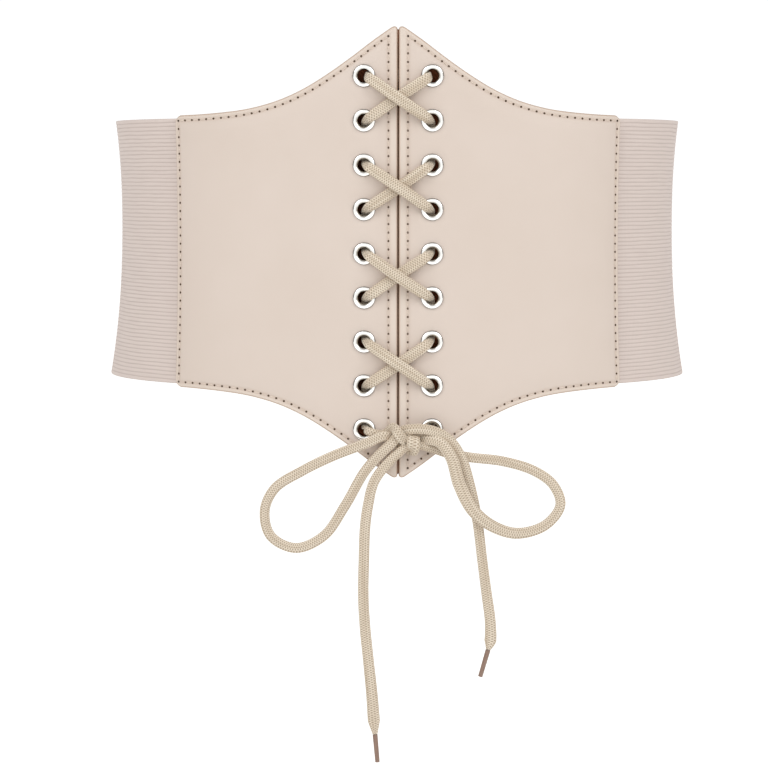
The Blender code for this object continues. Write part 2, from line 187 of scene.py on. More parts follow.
@dataclass(frozen=True)
class CoatedLeather(Finish):
    """Polyurethane-coated leather, embossed with a fine grain and rolled over at its edges.

    The eye gets a soft, even cream with a low satin gloss. Along the rolled rim it is a hair lighter, partly
    real burnish and partly a painted highlight; in the stitch groove and round the turned edge it is browner,
    a painted shade.
    """

    name: str = "coated_leather_embossed_cream"
    colour: str = "#DCCEC4"
    shade: str = "#D5C6BA"
    # Lighter along the rolled rim: partly real burnish, partly a painted highlight
    rim: str = "#DED0C4"
    # Painted shade, laid in the stitch groove and round the turned edge
    painted_leather_shade: str = "#B39781"
    patch: float = 38.0
    # Real grain is about 0.3 mm; it is drawn at 0.8 mm so that it shows
    grain: float = 0.8
    grain_depth: float = 0.035
    glossiest: float = 0.40
    dullest: float = 0.49
    surface: ClassVar[dict] = {"IOR": 1.5, "Specular IOR Level": 0.4}

    def pattern(self, tree: bpy.types.NodeTree) -> SurfacePattern:
        """Mottle the colour, lighten the rim, paint shade in the groove and round the turned edge, and emboss
        the grain.

        Args:
            tree: The material's nodes.

        Returns:
            What they feed.
        """
        place = {"Vector": add_node(tree, "TexCoord")}
        mottling = add_node(tree, "TexNoise", {"Scale": 1 / (self.patch * MM), "Detail": 3.0}, place)
        rim, painted_leather_shade = (add_node(tree, "Attribute", {"attribute_name": name}) for name in ("rim", "painted_leather_shade"))
        cells = {"feature": "SMOOTH_F1", "Scale": 1 / (self.grain * MM)}
        pebbles = add_node(tree, "TexVoronoi", cells, place)
        relief = {"Strength": 0.35, "Distance": self.grain_depth * MM}
        emboss = add_node(tree, "Bump", relief, {"Height": pebbles})
        gloss_span = {"To Min": self.glossiest, "To Max": self.dullest}
        gloss = add_node(tree, "MapRange", gloss_span, {"Value": mottling})
        tints = ((self.shade, mottling), (self.rim, rim), (self.painted_leather_shade, painted_leather_shade))
        return SurfacePattern(tints, {"Roughness": gloss, "Normal": emboss})


@dataclass(frozen=True)
class KnittedBacking(Finish):
    """The knitted cotton backing that the coating is laid on, brushed: a dull, pale beige on the inside."""

    name: str = "knitted_cotton_backing"
    colour: str = "#D6C8BA"
    shade: str = "#BBAA9A"
    # Real wales are about 0.5 mm apart; they are drawn at 1 mm so that they show
    wale: float = 1.0
    loop_depth: float = 0.1
    surface: ClassVar[dict] = {"Roughness": 0.95}

    def pattern(self, tree: bpy.types.NodeTree) -> SurfacePattern:
        """Draw the knit as small cells, in colour and in relief.

        Args:
            tree: The material's nodes.

        Returns:
            What they feed.
        """
        cells = {"Scale": 1 / (self.wale * MM)}
        loops = add_node(tree, "TexVoronoi", cells, {"Vector": add_node(tree, "TexCoord")})
        relief = {"Strength": 0.5, "Distance": self.loop_depth * MM, "invert": True}
        knit = add_node(tree, "Bump", relief, {"Height": loops})
        return SurfacePattern(((self.shade, loops),), {"Normal": knit})


@dataclass(frozen=True)
class RibbedElastic(Finish):
    """Woven elastic, its rubber cores wrapped in polyester and laid as flat ribs.

    The eye gets fine horizontal lines, pinkish beige on the ribs' crowns and greyer between them as a painted
    shade, with a faint upright thread and no gloss.
    """

    name: str = "woven_ribbed_elastic"
    colour: str = "#DACCC5"
    # Painted shade between the ribs
    valley: str = "#C5B6AF"
    # How far from a rib's middle the valley's painted shade begins, as a share of the rib
    crown_share: float = 0.24
    # Real cross threads are about 0.4 mm apart; they are drawn at 0.9 mm so that they show
    thread: float = 0.9
    thread_depth: float = 0.05
    streak: float = 14.0
    streak_contrast: float = 0.5
    surface: ClassVar[dict] = {
        "Roughness": 0.85,
        "Specular IOR Level": 0.25,
        "Sheen Weight": 0.15,
        "Sheen Roughness": 0.5,
    }

    def pattern(self, tree: bpy.types.NodeTree) -> SurfacePattern:
        """Paint shade between the ribs by their own count, which the UV map holds, and streak them along
        their length.

        Args:
            tree: The material's nodes.

        Returns:
            What they feed.
        """
        uv = add_node(tree, "UVMap", {"uv_map": "weave"})
        along = add_node(tree, "SeparateXYZ", links={"Vector": uv})
        rib_share = add_node(tree, "Math", {"operation": "FRACT"}, {0: along.node.outputs["Y"]})
        centred = add_node(tree, "Math", {"operation": "SUBTRACT", 1: 0.5}, {0: rib_share})
        off_crown = add_node(tree, "Math", {"operation": "ABSOLUTE"}, {0: centred})
        ramp = {"interpolation_type": "SMOOTHSTEP", "From Min": self.crown_share, "From Max": 0.5}
        valley = add_node(tree, "MapRange", ramp, {"Value": off_crown})
        drawn_out = add_node(tree, "Mapping", {"Scale": (1 / self.streak, 1.0, 1.0)}, {"Vector": uv})
        streaks = add_node(tree, "TexNoise", {"Scale": 1.0, "Detail": 2.0}, {"Vector": drawn_out})
        spread = {"operation": "MULTIPLY_ADD", 1: self.streak_contrast, 2: -self.streak_contrast / 2}
        depth = add_node(tree, "Math", spread, {0: streaks})
        # The valley's painted shade, with real streaks of tone laid on it
        shade = add_node(tree, "Math", {"operation": "ADD", "use_clamp": True}, {0: valley, 1: depth})
        turns = add_node(tree, "Math", {"operation": "MULTIPLY", 1: 2 * math.pi / self.thread}, {0: along})
        threads = add_node(tree, "Math", {"operation": "SINE"}, {0: turns})
        relief = {"Strength": 0.3, "Distance": self.thread_depth * MM}
        weave = add_node(tree, "Bump", relief, {"Height": threads})
        return SurfacePattern(((self.valley, shade),), {"Normal": weave})


@dataclass(frozen=True)
class PolishedNickel(Finish):
    """Brass eyelets, turned, nickel plated and polished.

    The eye gets a bright mirror with a faint warm cast. A dull grey is painted where the leather meets it, as
    painted shade and a painted reflection of a dark room, and the bore is painted dark as its shade.
    """

    name: str = "nickel_plated_brass_polished"
    colour: str = "#F2F1EE"
    # Painted shade and painted reflection: a dark grey laid on the outer edge, the inner bevel and the bore
    painted_shade: str = "#3A3531"
    glossiest: float = 0.08
    dullest: float = 0.20
    # Real polishing lines are far finer; they are drawn at 0.5 mm so that they show
    scratch: float = 0.5
    surface: ClassVar[dict] = {"Metallic": 1.0}

    def pattern(self, tree: bpy.types.NodeTree) -> SurfacePattern:
        """Vary the polish a little, and paint shade on the metal where its attribute says.

        Args:
            tree: The material's nodes.

        Returns:
            What they feed.
        """
        scratches = {"Scale": 1 / (self.scratch * MM)}
        wear = add_node(tree, "TexNoise", scratches, {"Vector": add_node(tree, "TexCoord")})
        gloss_span = {"To Min": self.glossiest, "To Max": self.dullest}
        polish = add_node(tree, "MapRange", gloss_span, {"Value": wear})
        painted_shade = add_node(tree, "Attribute", {"attribute_name": "painted_shade"})
        return SurfacePattern(((self.painted_shade, painted_shade),), {"Roughness": polish})


@dataclass(frozen=True)
class BraidedCord(Finish):
    """A tubular braid of spun polyester: beige with a soft nap, and painted shade in its pinholes."""

    name: str = "braided_polyester_beige"
    colour: str = "#E8DCCA"
    # Painted shade in the pinholes between the strands
    painted_pinhole_shade: str = "#AA9782"
    line: str = "#C6B49D"
    strand_depth: float = 0.12
    # The lines along the lace: how many in a strand's width, and in a lay
    line_counts: tuple[float, float] = (2.2, 0.03)
    surface: ClassVar[dict] = {
        "Roughness": 0.8,
        "Specular IOR Level": 0.25,
        "Sheen Weight": 0.05,
        "Sheen Roughness": 0.45,
    }

    def pattern(self, tree: bpy.types.NodeTree) -> SurfacePattern:
        """Paint shade in the braid's pits, which the UV map counts, and darken a few lines along the lace.

        Args:
            tree: The material's nodes.

        Returns:
            What they feed.
        """
        uv = add_node(tree, "UVMap", {"uv_map": "braid"})
        parts = add_node(tree, "SeparateXYZ", links={"Vector": uv}).node.outputs
        waves = []
        for operation in ("ADD", "SUBTRACT"):
            lead = add_node(tree, "Math", {"operation": operation}, {0: parts["X"], 1: parts["Y"]})
            turns = add_node(tree, "Math", {"operation": "MULTIPLY", 1: 2 * math.pi}, {0: lead})
            waves.append(add_node(tree, "Math", {"operation": "SINE"}, {0: turns}))
        crown = add_node(tree, "Math", {"operation": "MAXIMUM"}, dict(enumerate(waves)))
        pit = add_node(tree, "MapRange", {"From Min": 0.85, "From Max": -0.35}, {"Value": crown})
        drawn_out = add_node(tree, "Mapping", {"Scale": (*self.line_counts, 1.0)}, {"Vector": uv})
        lines = add_node(tree, "TexNoise", {"Scale": 1.0, "Detail": 1.0}, {"Vector": drawn_out})
        faint = {"From Min": 0.42, "From Max": 0.62, "To Max": 0.6}
        line_share = add_node(tree, "MapRange", faint, {"Value": lines})
        relief = {"Strength": 0.4, "Distance": self.strand_depth * MM}
        strands = add_node(tree, "Bump", relief, {"Height": crown})
        return SurfacePattern(((self.line, line_share), (self.painted_pinhole_shade, pit)), {"Normal": strands})


@dataclass(frozen=True)
class AcetateTip(Finish):
    """Brown acetate film, rolled tightly round the lace's end: satin, with a grain along its length."""

    name: str = "rolled_acetate_film_brown"
    colour: str = "#9A7F70"
    shade: str = "#7C6154"
    grain: float = 0.5
    drawn_out: float = 20.0
    surface: ClassVar[dict] = {"Roughness": 0.42}

    def pattern(self, tree: bpy.types.NodeTree) -> SurfacePattern:
        """Draw faint dark lines along the tip.

        Args:
            tree: The material's nodes.

        Returns:
            What they feed.
        """
        stretch = {"Scale": (1.0, 1.0, 1 / self.drawn_out)}
        long_way = add_node(tree, "Mapping", stretch, {"Vector": add_node(tree, "TexCoord")})
        lines = add_node(tree, "TexNoise", {"Scale": 1 / (self.grain * MM)}, {"Vector": long_way})
        return SurfacePattern(((self.shade, lines),))


@dataclass(frozen=True)
class SlantedYarn(Finish):
    """A yarn or cloth with slanted bands of two colours, and relief where the bands are deep enough."""

    name: str
    colour: str
    shade: str
    band: float
    relief: float = 0.0

    def pattern(self, tree: bpy.types.NodeTree) -> SurfacePattern:
        """Draw the slanted bands.

        Args:
            tree: The material's nodes.

        Returns:
            What they feed.
        """
        slant = {"Scale": WAVES_IN_SCALE / (self.band * MM), "bands_direction": "DIAGONAL"}
        bands = add_node(tree, "TexWave", slant, {"Vector": add_node(tree, "TexCoord")})
        tints = ((self.shade, bands),)
        if not self.relief:
            return SurfacePattern(tints)
        raised = add_node(tree, "Bump", {"Strength": 0.4, "Distance": self.relief * MM}, {"Height": bands})
        return SurfacePattern(tints, {"Normal": raised})


@dataclass(frozen=True)
class SewingThread(SlantedYarn):
    """Twisted polyester thread, a shade lighter than the leather, with a slight sheen."""

    name: str = "twisted_polyester_thread_cream"
    colour: str = "#DFD1C4"
    shade: str = "#D2C3B4"
    # Real plies are about 0.2 mm; they are drawn at 0.6 mm so that they show
    band: float = 0.6
    surface: ClassVar[dict] = {"Roughness": 0.6}


@dataclass(frozen=True)
class PaintedShadeTwill(SlantedYarn):
    """Cotton twill: dull, with a slanted rib, and dark brown as a painted shade."""

    name: str = "cotton_twill_dark_brown"
    # Painted shade: dark brown, so that the lacing gap and the eyelets look dark
    colour: str = "#7C4A30"
    shade: str = "#653B26"
    # Real twill ribs are about 0.5 mm apart; they are drawn at 1 mm so that they show
    band: float = 1.0
    relief: float = 0.1
    surface: ClassVar[dict] = {"Roughness": 0.95, "Specular IOR Level": 0.1}


@dataclass(frozen=True)
class NeedleHole(Finish):
    """The shadowed brown pit that the needle leaves in the leather."""

    name: str = "pierced_leather_shadow"
    colour: str = "#5C4A3B"
    shade: str = "#4C3B2E"
    spots_in_metre: float = 900.0
    surface: ClassVar[dict] = {"Roughness": 1.0, "Specular IOR Level": 0.0}

    def pattern(self, tree: bpy.types.NodeTree) -> SurfacePattern:
        """Make the pit nearly even.

        Args:
            tree: The material's nodes.

        Returns:
            What they feed.
        """
        spots = {"Scale": self.spots_in_metre}
        uneven = add_node(tree, "TexNoise", spots, {"Vector": add_node(tree, "TexCoord")})
        return SurfacePattern(((self.shade, uneven),))


@dataclass(frozen=True)
class PaleFloor(Finish):
    """Matt white studio board that looks lit, and lights the belt from below only as much as board does."""

    name: str = "studio_board_white"
    colour: str = BOARD_WHITE
    glow: float = 0.55
    surface: ClassVar[dict] = {"Roughness": 0.9, "Emission Color": linear(BOARD_WHITE)}

    def pattern(self, tree: bpy.types.NodeTree) -> SurfacePattern:
        """Take the glow away from the rays that light other things.

        Args:
            tree: The material's nodes.

        Returns:
            What they feed.
        """
        rays = add_node(tree, "LightPath").node.outputs
        glow = {"To Min": self.glow, "To Max": 0.0}
        strength = add_node(tree, "MapRange", glow, {"Value": rays["Is Diffuse Ray"]})
        return SurfacePattern(sockets={"Emission Strength": strength})


LEATHER = CoatedLeather()
BACKING = KnittedBacking()
ELASTIC = RibbedElastic()
NICKEL = PolishedNickel()
BRAID = BraidedCord()
TIP = AcetateTip()
THREAD = SewingThread()
HOLE = NeedleHole()
PAINTED_SHADE_TWILL = PaintedShadeTwill()
BOARD = PaleFloor()


@dataclass(frozen=True)
class WaistForm:
    """The waist that the belt goes round: a squarish oval with sides that flare above and below.

    Every field is in millimetres, apart from the shares and powers.
    """

    half_width: float = 130.1
    half_depth: float = 93.4
    squareness: float = 2.3
    narrowest_height: float = 16.0
    top_flare: float = 2.6
    bottom_flare: float = 6.2
    flare_power: float = 2.2
    spread_power: int = 5
    depth_flare_share: float = 0.2
    band_height: float = 119.5
    steps: int = 1200

    @cached_property
    def ring(self) -> np.ndarray:
        """Half of the waist, from the front centre to the back.

        Returns:
            Rows of arc, x, y and the outward way's x and y.
        """
        turn = np.linspace(0.0, math.pi, self.steps + 1)
        x = self.half_width * np.clip(np.sin(turn), 0.0, 1.0) ** (2 / self.squareness)
        x[-1] = 0.0
        y = -np.sign(np.cos(turn)) * self.half_depth * np.abs(np.cos(turn)) ** (2 / self.squareness)
        places = np.column_stack((x, y))
        along = np.empty_like(places)
        along[1:-1] = places[2:] - places[:-2]
        along[0] = (1.0, 0.0)
        along[-1] = (-1.0, 0.0)
        along /= np.linalg.norm(along, axis=1)[:, None]
        return np.column_stack((gone_along(places), x, y, along[:, 1], -along[:, 0]))

    @property
    def half_round(self) -> float:
        """The arc from the front centre to the back centre."""
        return float(self.ring[-1, 0])

    def flare(self, heights: np.ndarray) -> np.ndarray:
        """How far the sides stand out at each height, past the narrowest line.

        Args:
            heights: Heights over the origin.

        Returns:
            One distance for each height.
        """
        half = self.band_height / 2
        above = np.maximum(heights - self.narrowest_height, 0.0) / (half - self.narrowest_height)
        below = np.maximum(self.narrowest_height - heights, 0.0) / (half + self.narrowest_height)
        return self.top_flare * above**self.flare_power + self.bottom_flare * below**self.flare_power

    def wrap(self, flat: np.ndarray) -> np.ndarray:
        """Wrap flat points round the waist.

        Args:
            flat: Rows of arc, minus lift and height, in millimetres.

        Returns:
            Rows of x, y and z in the row frame, in metres.
        """
        arcs = np.where(flat[:, 0] > self.half_round, flat[:, 0] - 2 * self.half_round, flat[:, 0])
        lifts, heights = -flat[:, 1], flat[:, 2]
        x, y, out_x, out_y = (np.interp(np.abs(arcs), self.ring[:, 0], self.ring[:, k]) for k in range(1, 5))
        spread = self.flare(heights)
        x = x + spread * (x / self.half_width) ** self.spread_power
        y = y * (1 + self.depth_flare_share * spread / self.half_depth)
        sides = np.where(arcs < 0, -1.0, 1.0)
        return np.column_stack((sides * (x + lifts * out_x), y + lifts * out_y, heights)) * MM

    def frame_at(self, arc: float, height: float, lift: float) -> Matrix:
        """The place and turn of a piece that sits on the belt.

        Args:
            arc: Millimetres from the front centre.
            height: Millimetres above the origin.
            lift: Millimetres off the waist.

        Returns:
            A matrix in metres whose Z points outwards and whose Y points up the belt.
        """
        probes = [(arc + x, -lift, height + z) for x, z in ((1, 0), (-1, 0), (0, 1), (0, -1))]
        right, left, up, down = (Vector(row) for row in self.wrap(np.array(probes)))
        across = (right - left).normalized()
        out = across.cross(up - down).normalized()
        middle = Vector(self.wrap(np.array([(arc, -lift, height)]))[0])
        return Matrix.Translation(middle) @ Matrix((across, out.cross(across), out)).transposed().to_4x4()


WAIST = WaistForm()

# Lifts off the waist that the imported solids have, in millimetres
BAND_WALL = 1.3
CLEARANCE = 0.3
PANEL_WALL = 2.0
PANEL_BACK = BAND_WALL + CLEARANCE
PANEL_FACE = PANEL_BACK + PANEL_WALL

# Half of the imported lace's thickness, in millimetres
LACE_RADIUS = 1.45


def select_only(piece: bpy.types.Object) -> None:
    """Select one piece alone and make it active.

    Args:
        piece: The piece.
    """
    bpy.ops.object.select_all(action="DESELECT")
    piece.select_set(True)
    bpy.context.view_layer.objects.active = piece


def points_of(piece: bpy.types.Object) -> np.ndarray:
    """Read a piece's vertices.

    Args:
        piece: The piece.

    Returns:
        Rows of x, y and z.
    """
    flat = np.empty(len(piece.data.vertices) * 3)
    piece.data.vertices.foreach_get("co", flat)
    return flat.reshape(-1, 3)


def move_points(piece: bpy.types.Object, points: np.ndarray) -> None:
    """Set the piece's vertices from rows of x, y and z."""
    piece.data.vertices.foreach_set("co", points.ravel())
    piece.data.update()


def edit_faces(piece: bpy.types.Object, chosen: np.ndarray) -> None:
    """Enter edit mode on a piece with some of its faces selected.

    Args:
        piece: The piece to edit.
        chosen: One true or false value for each face.
    """
    select_only(piece)
    bpy.ops.object.mode_set(mode="EDIT")
    bpy.ops.mesh.select_mode(type="FACE")
    bpy.ops.mesh.select_all(action="DESELECT")
    bpy.ops.object.mode_set(mode="OBJECT")
    piece.data.polygons.foreach_set("select", np.asarray(chosen, bool))
    bpy.ops.object.mode_set(mode="EDIT")


def end_edit() -> None:
    """Leave edit mode."""
    bpy.ops.object.mode_set(mode="OBJECT")


def even_normals(piece: bpy.types.Object) -> None:
    """Turn all faces of a closed piece outwards.

    Args:
        piece: The piece.
    """
    edit_faces(piece, np.ones(len(piece.data.polygons)))
    bpy.ops.mesh.select_all(action="SELECT")
    bpy.ops.mesh.normals_make_consistent(inside=False)
    end_edit()


def apply_modifier(piece: bpy.types.Object, kind: str, settings: dict) -> None:
    """Add a modifier with its settings and apply it.

    Args:
        piece: The piece to change.
        kind: The modifier's type.
        settings: Its values by attribute.
    """
    select_only(piece)
    added = piece.modifiers.new(kind.lower(), kind)
    for name, value in settings.items():
        setattr(added, name, value)
    bpy.ops.object.modifier_apply(modifier=added.name)


def mesh_piece(name: str, points: np.ndarray, faces: list) -> bpy.types.Object:
    """Make a mesh piece from points and faces, and put it in the scene.

    Args:
        name: The piece's name.
        points: Rows of x, y and z.
        faces: The corners of each face.

    Returns:
        The piece.
    """
    mesh = bpy.data.meshes.new(name)
    mesh.from_pydata(points.tolist(), [], faces)
    piece = bpy.data.objects.new(name, mesh)
    bpy.context.scene.collection.objects.link(piece)
    return piece


def map_uv(piece: bpy.types.Object, name: str, at_points: np.ndarray) -> None:
    """Give a piece a UV map from a pair of values at each vertex.

    Args:
        piece: The piece.
        name: The map's name.
        at_points: Rows of u and v, one for each vertex.
    """
    corners = np.empty(len(piece.data.loops), np.int32)
    piece.data.loops.foreach_get("vertex_index", corners)
    layer = piece.data.uv_layers.new(name=name)
    layer.data.foreach_set("uv", at_points[corners].astype(np.float32).ravel())


def mark_points(piece: bpy.types.Object, name: str, values: np.ndarray) -> None:
    """Store one number for each vertex, which a material can read."""
    marks = piece.data.attributes.new(name, "FLOAT", "POINT")
    marks.data.foreach_set("value", values.astype(np.float32))


def finish_piece(
    piece: bpy.types.Object,
    finish: Finish,
    stands_for: tuple[str, ...] = (),
    smooth: float = 180.0,
) -> bpy.types.Object:
    """Shade a piece, dress it and fasten it to the frame.

    Args:
        piece: The piece, in place in metres.
        finish: What it wears.
        stands_for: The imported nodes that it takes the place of.
        smooth: The widest angle, in degrees, that is shaded smooth.

    Returns:
        The same piece.
    """
    select_only(piece)
    if smooth < 180.0:
        bpy.ops.object.shade_smooth_by_angle(angle=math.radians(smooth))
    else:
        bpy.ops.object.shade_smooth()
    if not piece.data.materials:
        piece.data.materials.append(finish.material)
    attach(piece, BODY)
    if stands_for:
        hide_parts(*stands_for)
    LOG.info("%s: %d points", piece.name, len(piece.data.vertices))
    return piece


def graded(
    first: float, last: float, rim: tuple[float, ...], zones: tuple[tuple[float, float], ...]
) -> np.ndarray:
    """Places from first to last, close together by both rims and wider in the middle.

    Args:
        first: Where the places start.
        last: Where they end.
        rim: Distances of the closest places from each end.
        zones: Pairs of a distance from the first end and the step up to it; the last step fills the rest.

    Returns:
        The places, in order.
    """
    places = [first + reach for reach in rim]
    stop = last - rim[-1]
    for reach, step in zones:
        until = min(first + reach, stop) if reach else stop
        count = max(1, round((until - places[-1]) / step))
        places += list(np.linspace(places[-1], until, count + 1)[1:])
    places += [last - reach for reach in rim[-2::-1]]
    return np.array(places)


def gone_along(points: np.ndarray) -> np.ndarray:
    """How far each point of a line lies from its start, along the line."""
    return np.concatenate(([0.0], np.cumsum(np.linalg.norm(np.diff(points, axis=0), axis=1))))


def distance_to_line(points: np.ndarray, line: np.ndarray) -> np.ndarray:
    """The distance from each flat point to the nearest stretch of a line.

    Args:
        points: Rows of two values.
        line: The line's corners, as rows of two values.

    Returns:
        One distance for each point.
    """
    nearest = np.full(len(points), np.inf)
    for start, end in zip(line, line[1:]):
        way = end - start
        share = np.clip((points - start) @ way / max(way @ way, 1e-9), 0.0, 1.0)
        nearest = np.minimum(nearest, np.hypot(*(points - start - share[:, None] * way).T))
    return nearest


def smooth_step(values: np.ndarray) -> np.ndarray:
    """Ease from 0 to 1 as the values do."""
    held = np.clip(values, 0.0, 1.0)
    return held * held * (3 - 2 * held)


def take_primitive(name: str) -> bpy.types.Object:
    """Take the primitive that was just added, with its place and turn put in its mesh.

    Args:
        name: The name that it gets.

    Returns:
        The primitive.
    """
    bpy.ops.object.transform_apply(location=True, rotation=True, scale=True)
    piece = bpy.context.object
    piece.name = name
    piece.data.name = name
    return piece


def new_flat_sheet(name: str, arcs: np.ndarray, heights: np.ndarray) -> bpy.types.Object:
    """Lay out a sheet as a grid primitive that faces -Y.

    Args:
        name: The piece's name.
        arcs: One arc for each column.
        heights: The heights, as rows by columns.

    Returns:
        The sheet, without thickness, in flat millimetres.
    """
    rows, columns = heights.shape
    bpy.ops.object.select_all(action="DESELECT")
    bpy.ops.mesh.primitive_grid_add(
        x_subdivisions=columns - 1, y_subdivisions=rows - 1, size=1.0, rotation=(math.pi / 2, 0.0, 0.0)
    )
    sheet = take_primitive(name)
    sheet.data.uv_layers.remove(sheet.data.uv_layers[0])
    flat = np.zeros((rows * columns, 3))
    flat[:, 0] = np.tile(arcs, rows)
    flat[:, 2] = heights.ravel()
    move_points(sheet, flat)
    return sheet


def thicken(sheet: bpy.types.Object) -> int:
    """Give a flat sheet a second layer behind it, joined along every edge.

    Args:
        sheet: A sheet with one layer.

    Returns:
        How many vertices the front layer has; the back layer's follow in the same order.
    """
    front = len(sheet.data.vertices)
    apply_modifier(sheet, "SOLIDIFY", {"thickness": 1.0, "offset": -1.0})
    return front


def wrap_round(piece: bpy.types.Object, flat: np.ndarray, side: Side = Side.RIGHT) -> None:
    """Wrap a closed piece round one side of the waist and turn its faces outwards.

    Args:
        piece: The piece.
        flat: Its vertices in the flat, as the right side has them.
        side: The side that it goes to.
    """
    move_points(piece, WAIST.wrap(flat * (side.value, 1.0, 1.0)))
    even_normals(piece)


@dataclass(frozen=True)
class Eyelets:
    """Two columns of turned eyelets, in millimetres."""

    rows: int = 9
    pitch: float = 19.4
    column_arc: float = 14.8
    flange_radius: float = 4.95
    hole_radius: float = 3.4
    segments: int = 48
    # The ring's section: radius, height over the leather and the share of painted shade, which darkens
    # the outer edge and inner bevel as shade and a dark reflection would, and the bore as its shade. It runs
    # over the flange, down the bore, round the curled back flange and up the outside of the barrel.
    section: tuple[tuple[float, float, float], ...] = (
        (4.88, -0.12, 1.0),
        (4.95, 0.10, 1.0),
        (4.91, 0.40, 0.9),
        (4.74, 0.66, 0.3),
        (4.44, 0.84, 0.0),
        (4.08, 0.92, 0.0),
        (3.74, 0.90, 0.0),
        (3.42, 0.80, 0.5),
        (3.16, 0.60, 0.1),
        (2.96, 0.30, 0.3),
        (2.80, -0.12, 0.55),
        (2.70, -0.70, 1.0),
        (2.66, -2.10, 1.0),
        (2.76, -2.50, 0.3),
        (3.10, -2.74, 0.0),
        (3.60, -2.78, 0.0),
        (4.08, -2.62, 0.0),
        (4.28, -2.34, 0.5),
        (4.16, -2.08, 1.0),
        (3.10, -2.04, 1.0),
        (3.06, -0.14, 1.0),
    )

    def row_height(self, row: int) -> float:
        """The height of a row, counted from 1 at the top."""
        return ((self.rows + 1) / 2 - row) * self.pitch

    @property
    def column(self) -> list[tuple[float, float]]:
        """The arc and height of each eyelet of the right column, from the top."""
        return [(self.column_arc, self.row_height(row)) for row in range(1, self.rows + 1)]

    def turned_ring(self) -> bpy.types.Object:
        """Turn one ring: a circle is drawn out along the section, and its two ends are joined.

        Returns:
            The ring, round the origin, in millimetres.
        """
        bpy.ops.object.select_all(action="DESELECT")
        radius, height, _ = self.section[0]
        bpy.ops.mesh.primitive_circle_add(vertices=self.segments, radius=radius, location=(0.0, 0.0, height))
        ring = take_primitive("turned_ring")
        bpy.ops.object.mode_set(mode="EDIT")
        bpy.ops.mesh.select_mode(type="EDGE")
        bpy.ops.mesh.select_all(action="SELECT")
        for (last_radius, last_height, _), (radius, height, _) in zip(self.section, self.section[1:]):
            step = (0.0, 0.0, height - last_height)
            bpy.ops.mesh.extrude_edges_move(TRANSFORM_OT_translate={"value": step})
            grown = radius / last_radius
            bpy.ops.transform.resize(value=(grown, grown, 1.0), center_override=(0.0, 0.0, 0.0))
        bpy.ops.mesh.select_all(action="DESELECT")
        bpy.ops.mesh.select_non_manifold()
        bpy.ops.mesh.bridge_edge_loops()
        end_edit()
        even_normals(ring)
        # Each point takes its row's share of painted shade
        mark_points(ring, "painted_shade", np.repeat([painted_shade for _, _, painted_shade in self.section], self.segments))
        return ring

    def build(self) -> None:
        """Set a copy of the ring in each hole."""
        ring = self.turned_ring()
        for side in Side:
            for row, (arc, height) in enumerate(self.column, 1):
                name = f"eyelet_ring_{side.label}_{row}"
                mesh = ring.data.copy()
                mesh.name = name
                piece = bpy.data.objects.new(name, mesh)
                bpy.context.scene.collection.objects.link(piece)
                mesh.transform(WAIST.frame_at(side.value * arc, height, PANEL_FACE) @ Matrix.Scale(MM, 4))
                finish_piece(piece, NICKEL, (f"eyelet_{side.label}_{row}",))
        bpy.data.objects.remove(ring)


EYELETS = Eyelets()


@dataclass(frozen=True)
class Stitching:
    """A single row of lockstitch, in millimetres."""

    pitch: float = 3.7
    thread_length: float = 2.5
    thread_width: float = 0.45
    thread_rise: float = 0.05
    hole_radius: float = 0.5
    hole_wall: float = 0.2
    hole_sink: float = 0.03
    hole_rise: float = 0.05
    groove_depth: float = 0.14
    groove_width: float = 0.9

    def thread(self) -> bpy.types.Object:
        """Model one stitch: a drawn-out ball whose ends dip into the leather.

        Returns:
            The stitch, with its length along X.
        """
        bpy.ops.object.select_all(action="DESELECT")
        bpy.ops.mesh.primitive_uv_sphere_add(
            segments=8, ring_count=8, radius=0.5, rotation=(0.0, math.pi / 2, 0.0)
        )
        stitch = take_primitive("stitch")
        bpy.ops.object.mode_set(mode="EDIT")
        bpy.ops.mesh.select_all(action="SELECT")
        bpy.ops.transform.resize(
            value=(self.thread_length, self.thread_width, self.thread_width), center_override=(0.0, 0.0, 0.0)
        )
        end_edit()
        bent = points_of(stitch)
        bent[:, 1] += self.thread_width * (2 * bent[:, 0] / self.thread_length) ** 4
        move_points(stitch, bent)
        return stitch

    def hole(self) -> bpy.types.Object:
        """Model one needle hole: a small dished disc.

        Returns:
            The disc, facing -Y.
        """
        bpy.ops.object.select_all(action="DESELECT")
        bpy.ops.mesh.primitive_circle_add(
            vertices=10, radius=self.hole_radius, fill_type="NGON", rotation=(math.pi / 2, 0.0, 0.0)
        )
        pit = take_primitive("pit")
        edit_faces(pit, np.ones(len(pit.data.polygons)))
        bpy.ops.mesh.inset(thickness=self.hole_wall)
        bpy.ops.transform.translate(value=(0.0, self.hole_sink, 0.0))
        end_edit()
        return pit

    def spaced(self, run: np.ndarray) -> np.ndarray:
        """Space the needle holes evenly along one run of a seam.

        Args:
            run: The run's points in the flat, as rows of arc and height.

        Returns:
            The holes' places, from end to end of the run.
        """
        gone = gone_along(run)
        count = max(1, round(gone[-1] / self.pitch))
        ends = np.linspace(0.0, gone[-1], count + 1)
        return np.column_stack([np.interp(ends, gone, run[:, k]) for k in range(2)])


STITCHING = Stitching()


def scatter(name: str, shape: bpy.types.Object, places: np.ndarray, ways: np.ndarray) -> bpy.types.Object:
    """Join many copies of a small shape in one flat piece.

    Args:
        name: The piece's name.
        shape: The shape, round the origin, with its length along X. It is removed.
        places: The copies' places in the flat, as rows of x, y and z.
        ways: The way in x and z that each copy's length points.

    Returns:
        The joined piece, in flat millimetres.
    """
    local = points_of(shape)
    corners = [list(face.vertices) for face in shape.data.polygons]
    copies = []
    faces = []
    for count, (place, (way_x, way_z)) in enumerate(zip(places, ways)):
        turn = np.array([(way_x, 0.0, way_z), (0.0, 1.0, 0.0), (-way_z, 0.0, way_x)])
        copies.append(place + local @ turn)
        faces += [[corner + count * len(local) for corner in face] for face in corners]
    bpy.data.objects.remove(shape)
    return mesh_piece(name, np.concatenate(copies), faces)


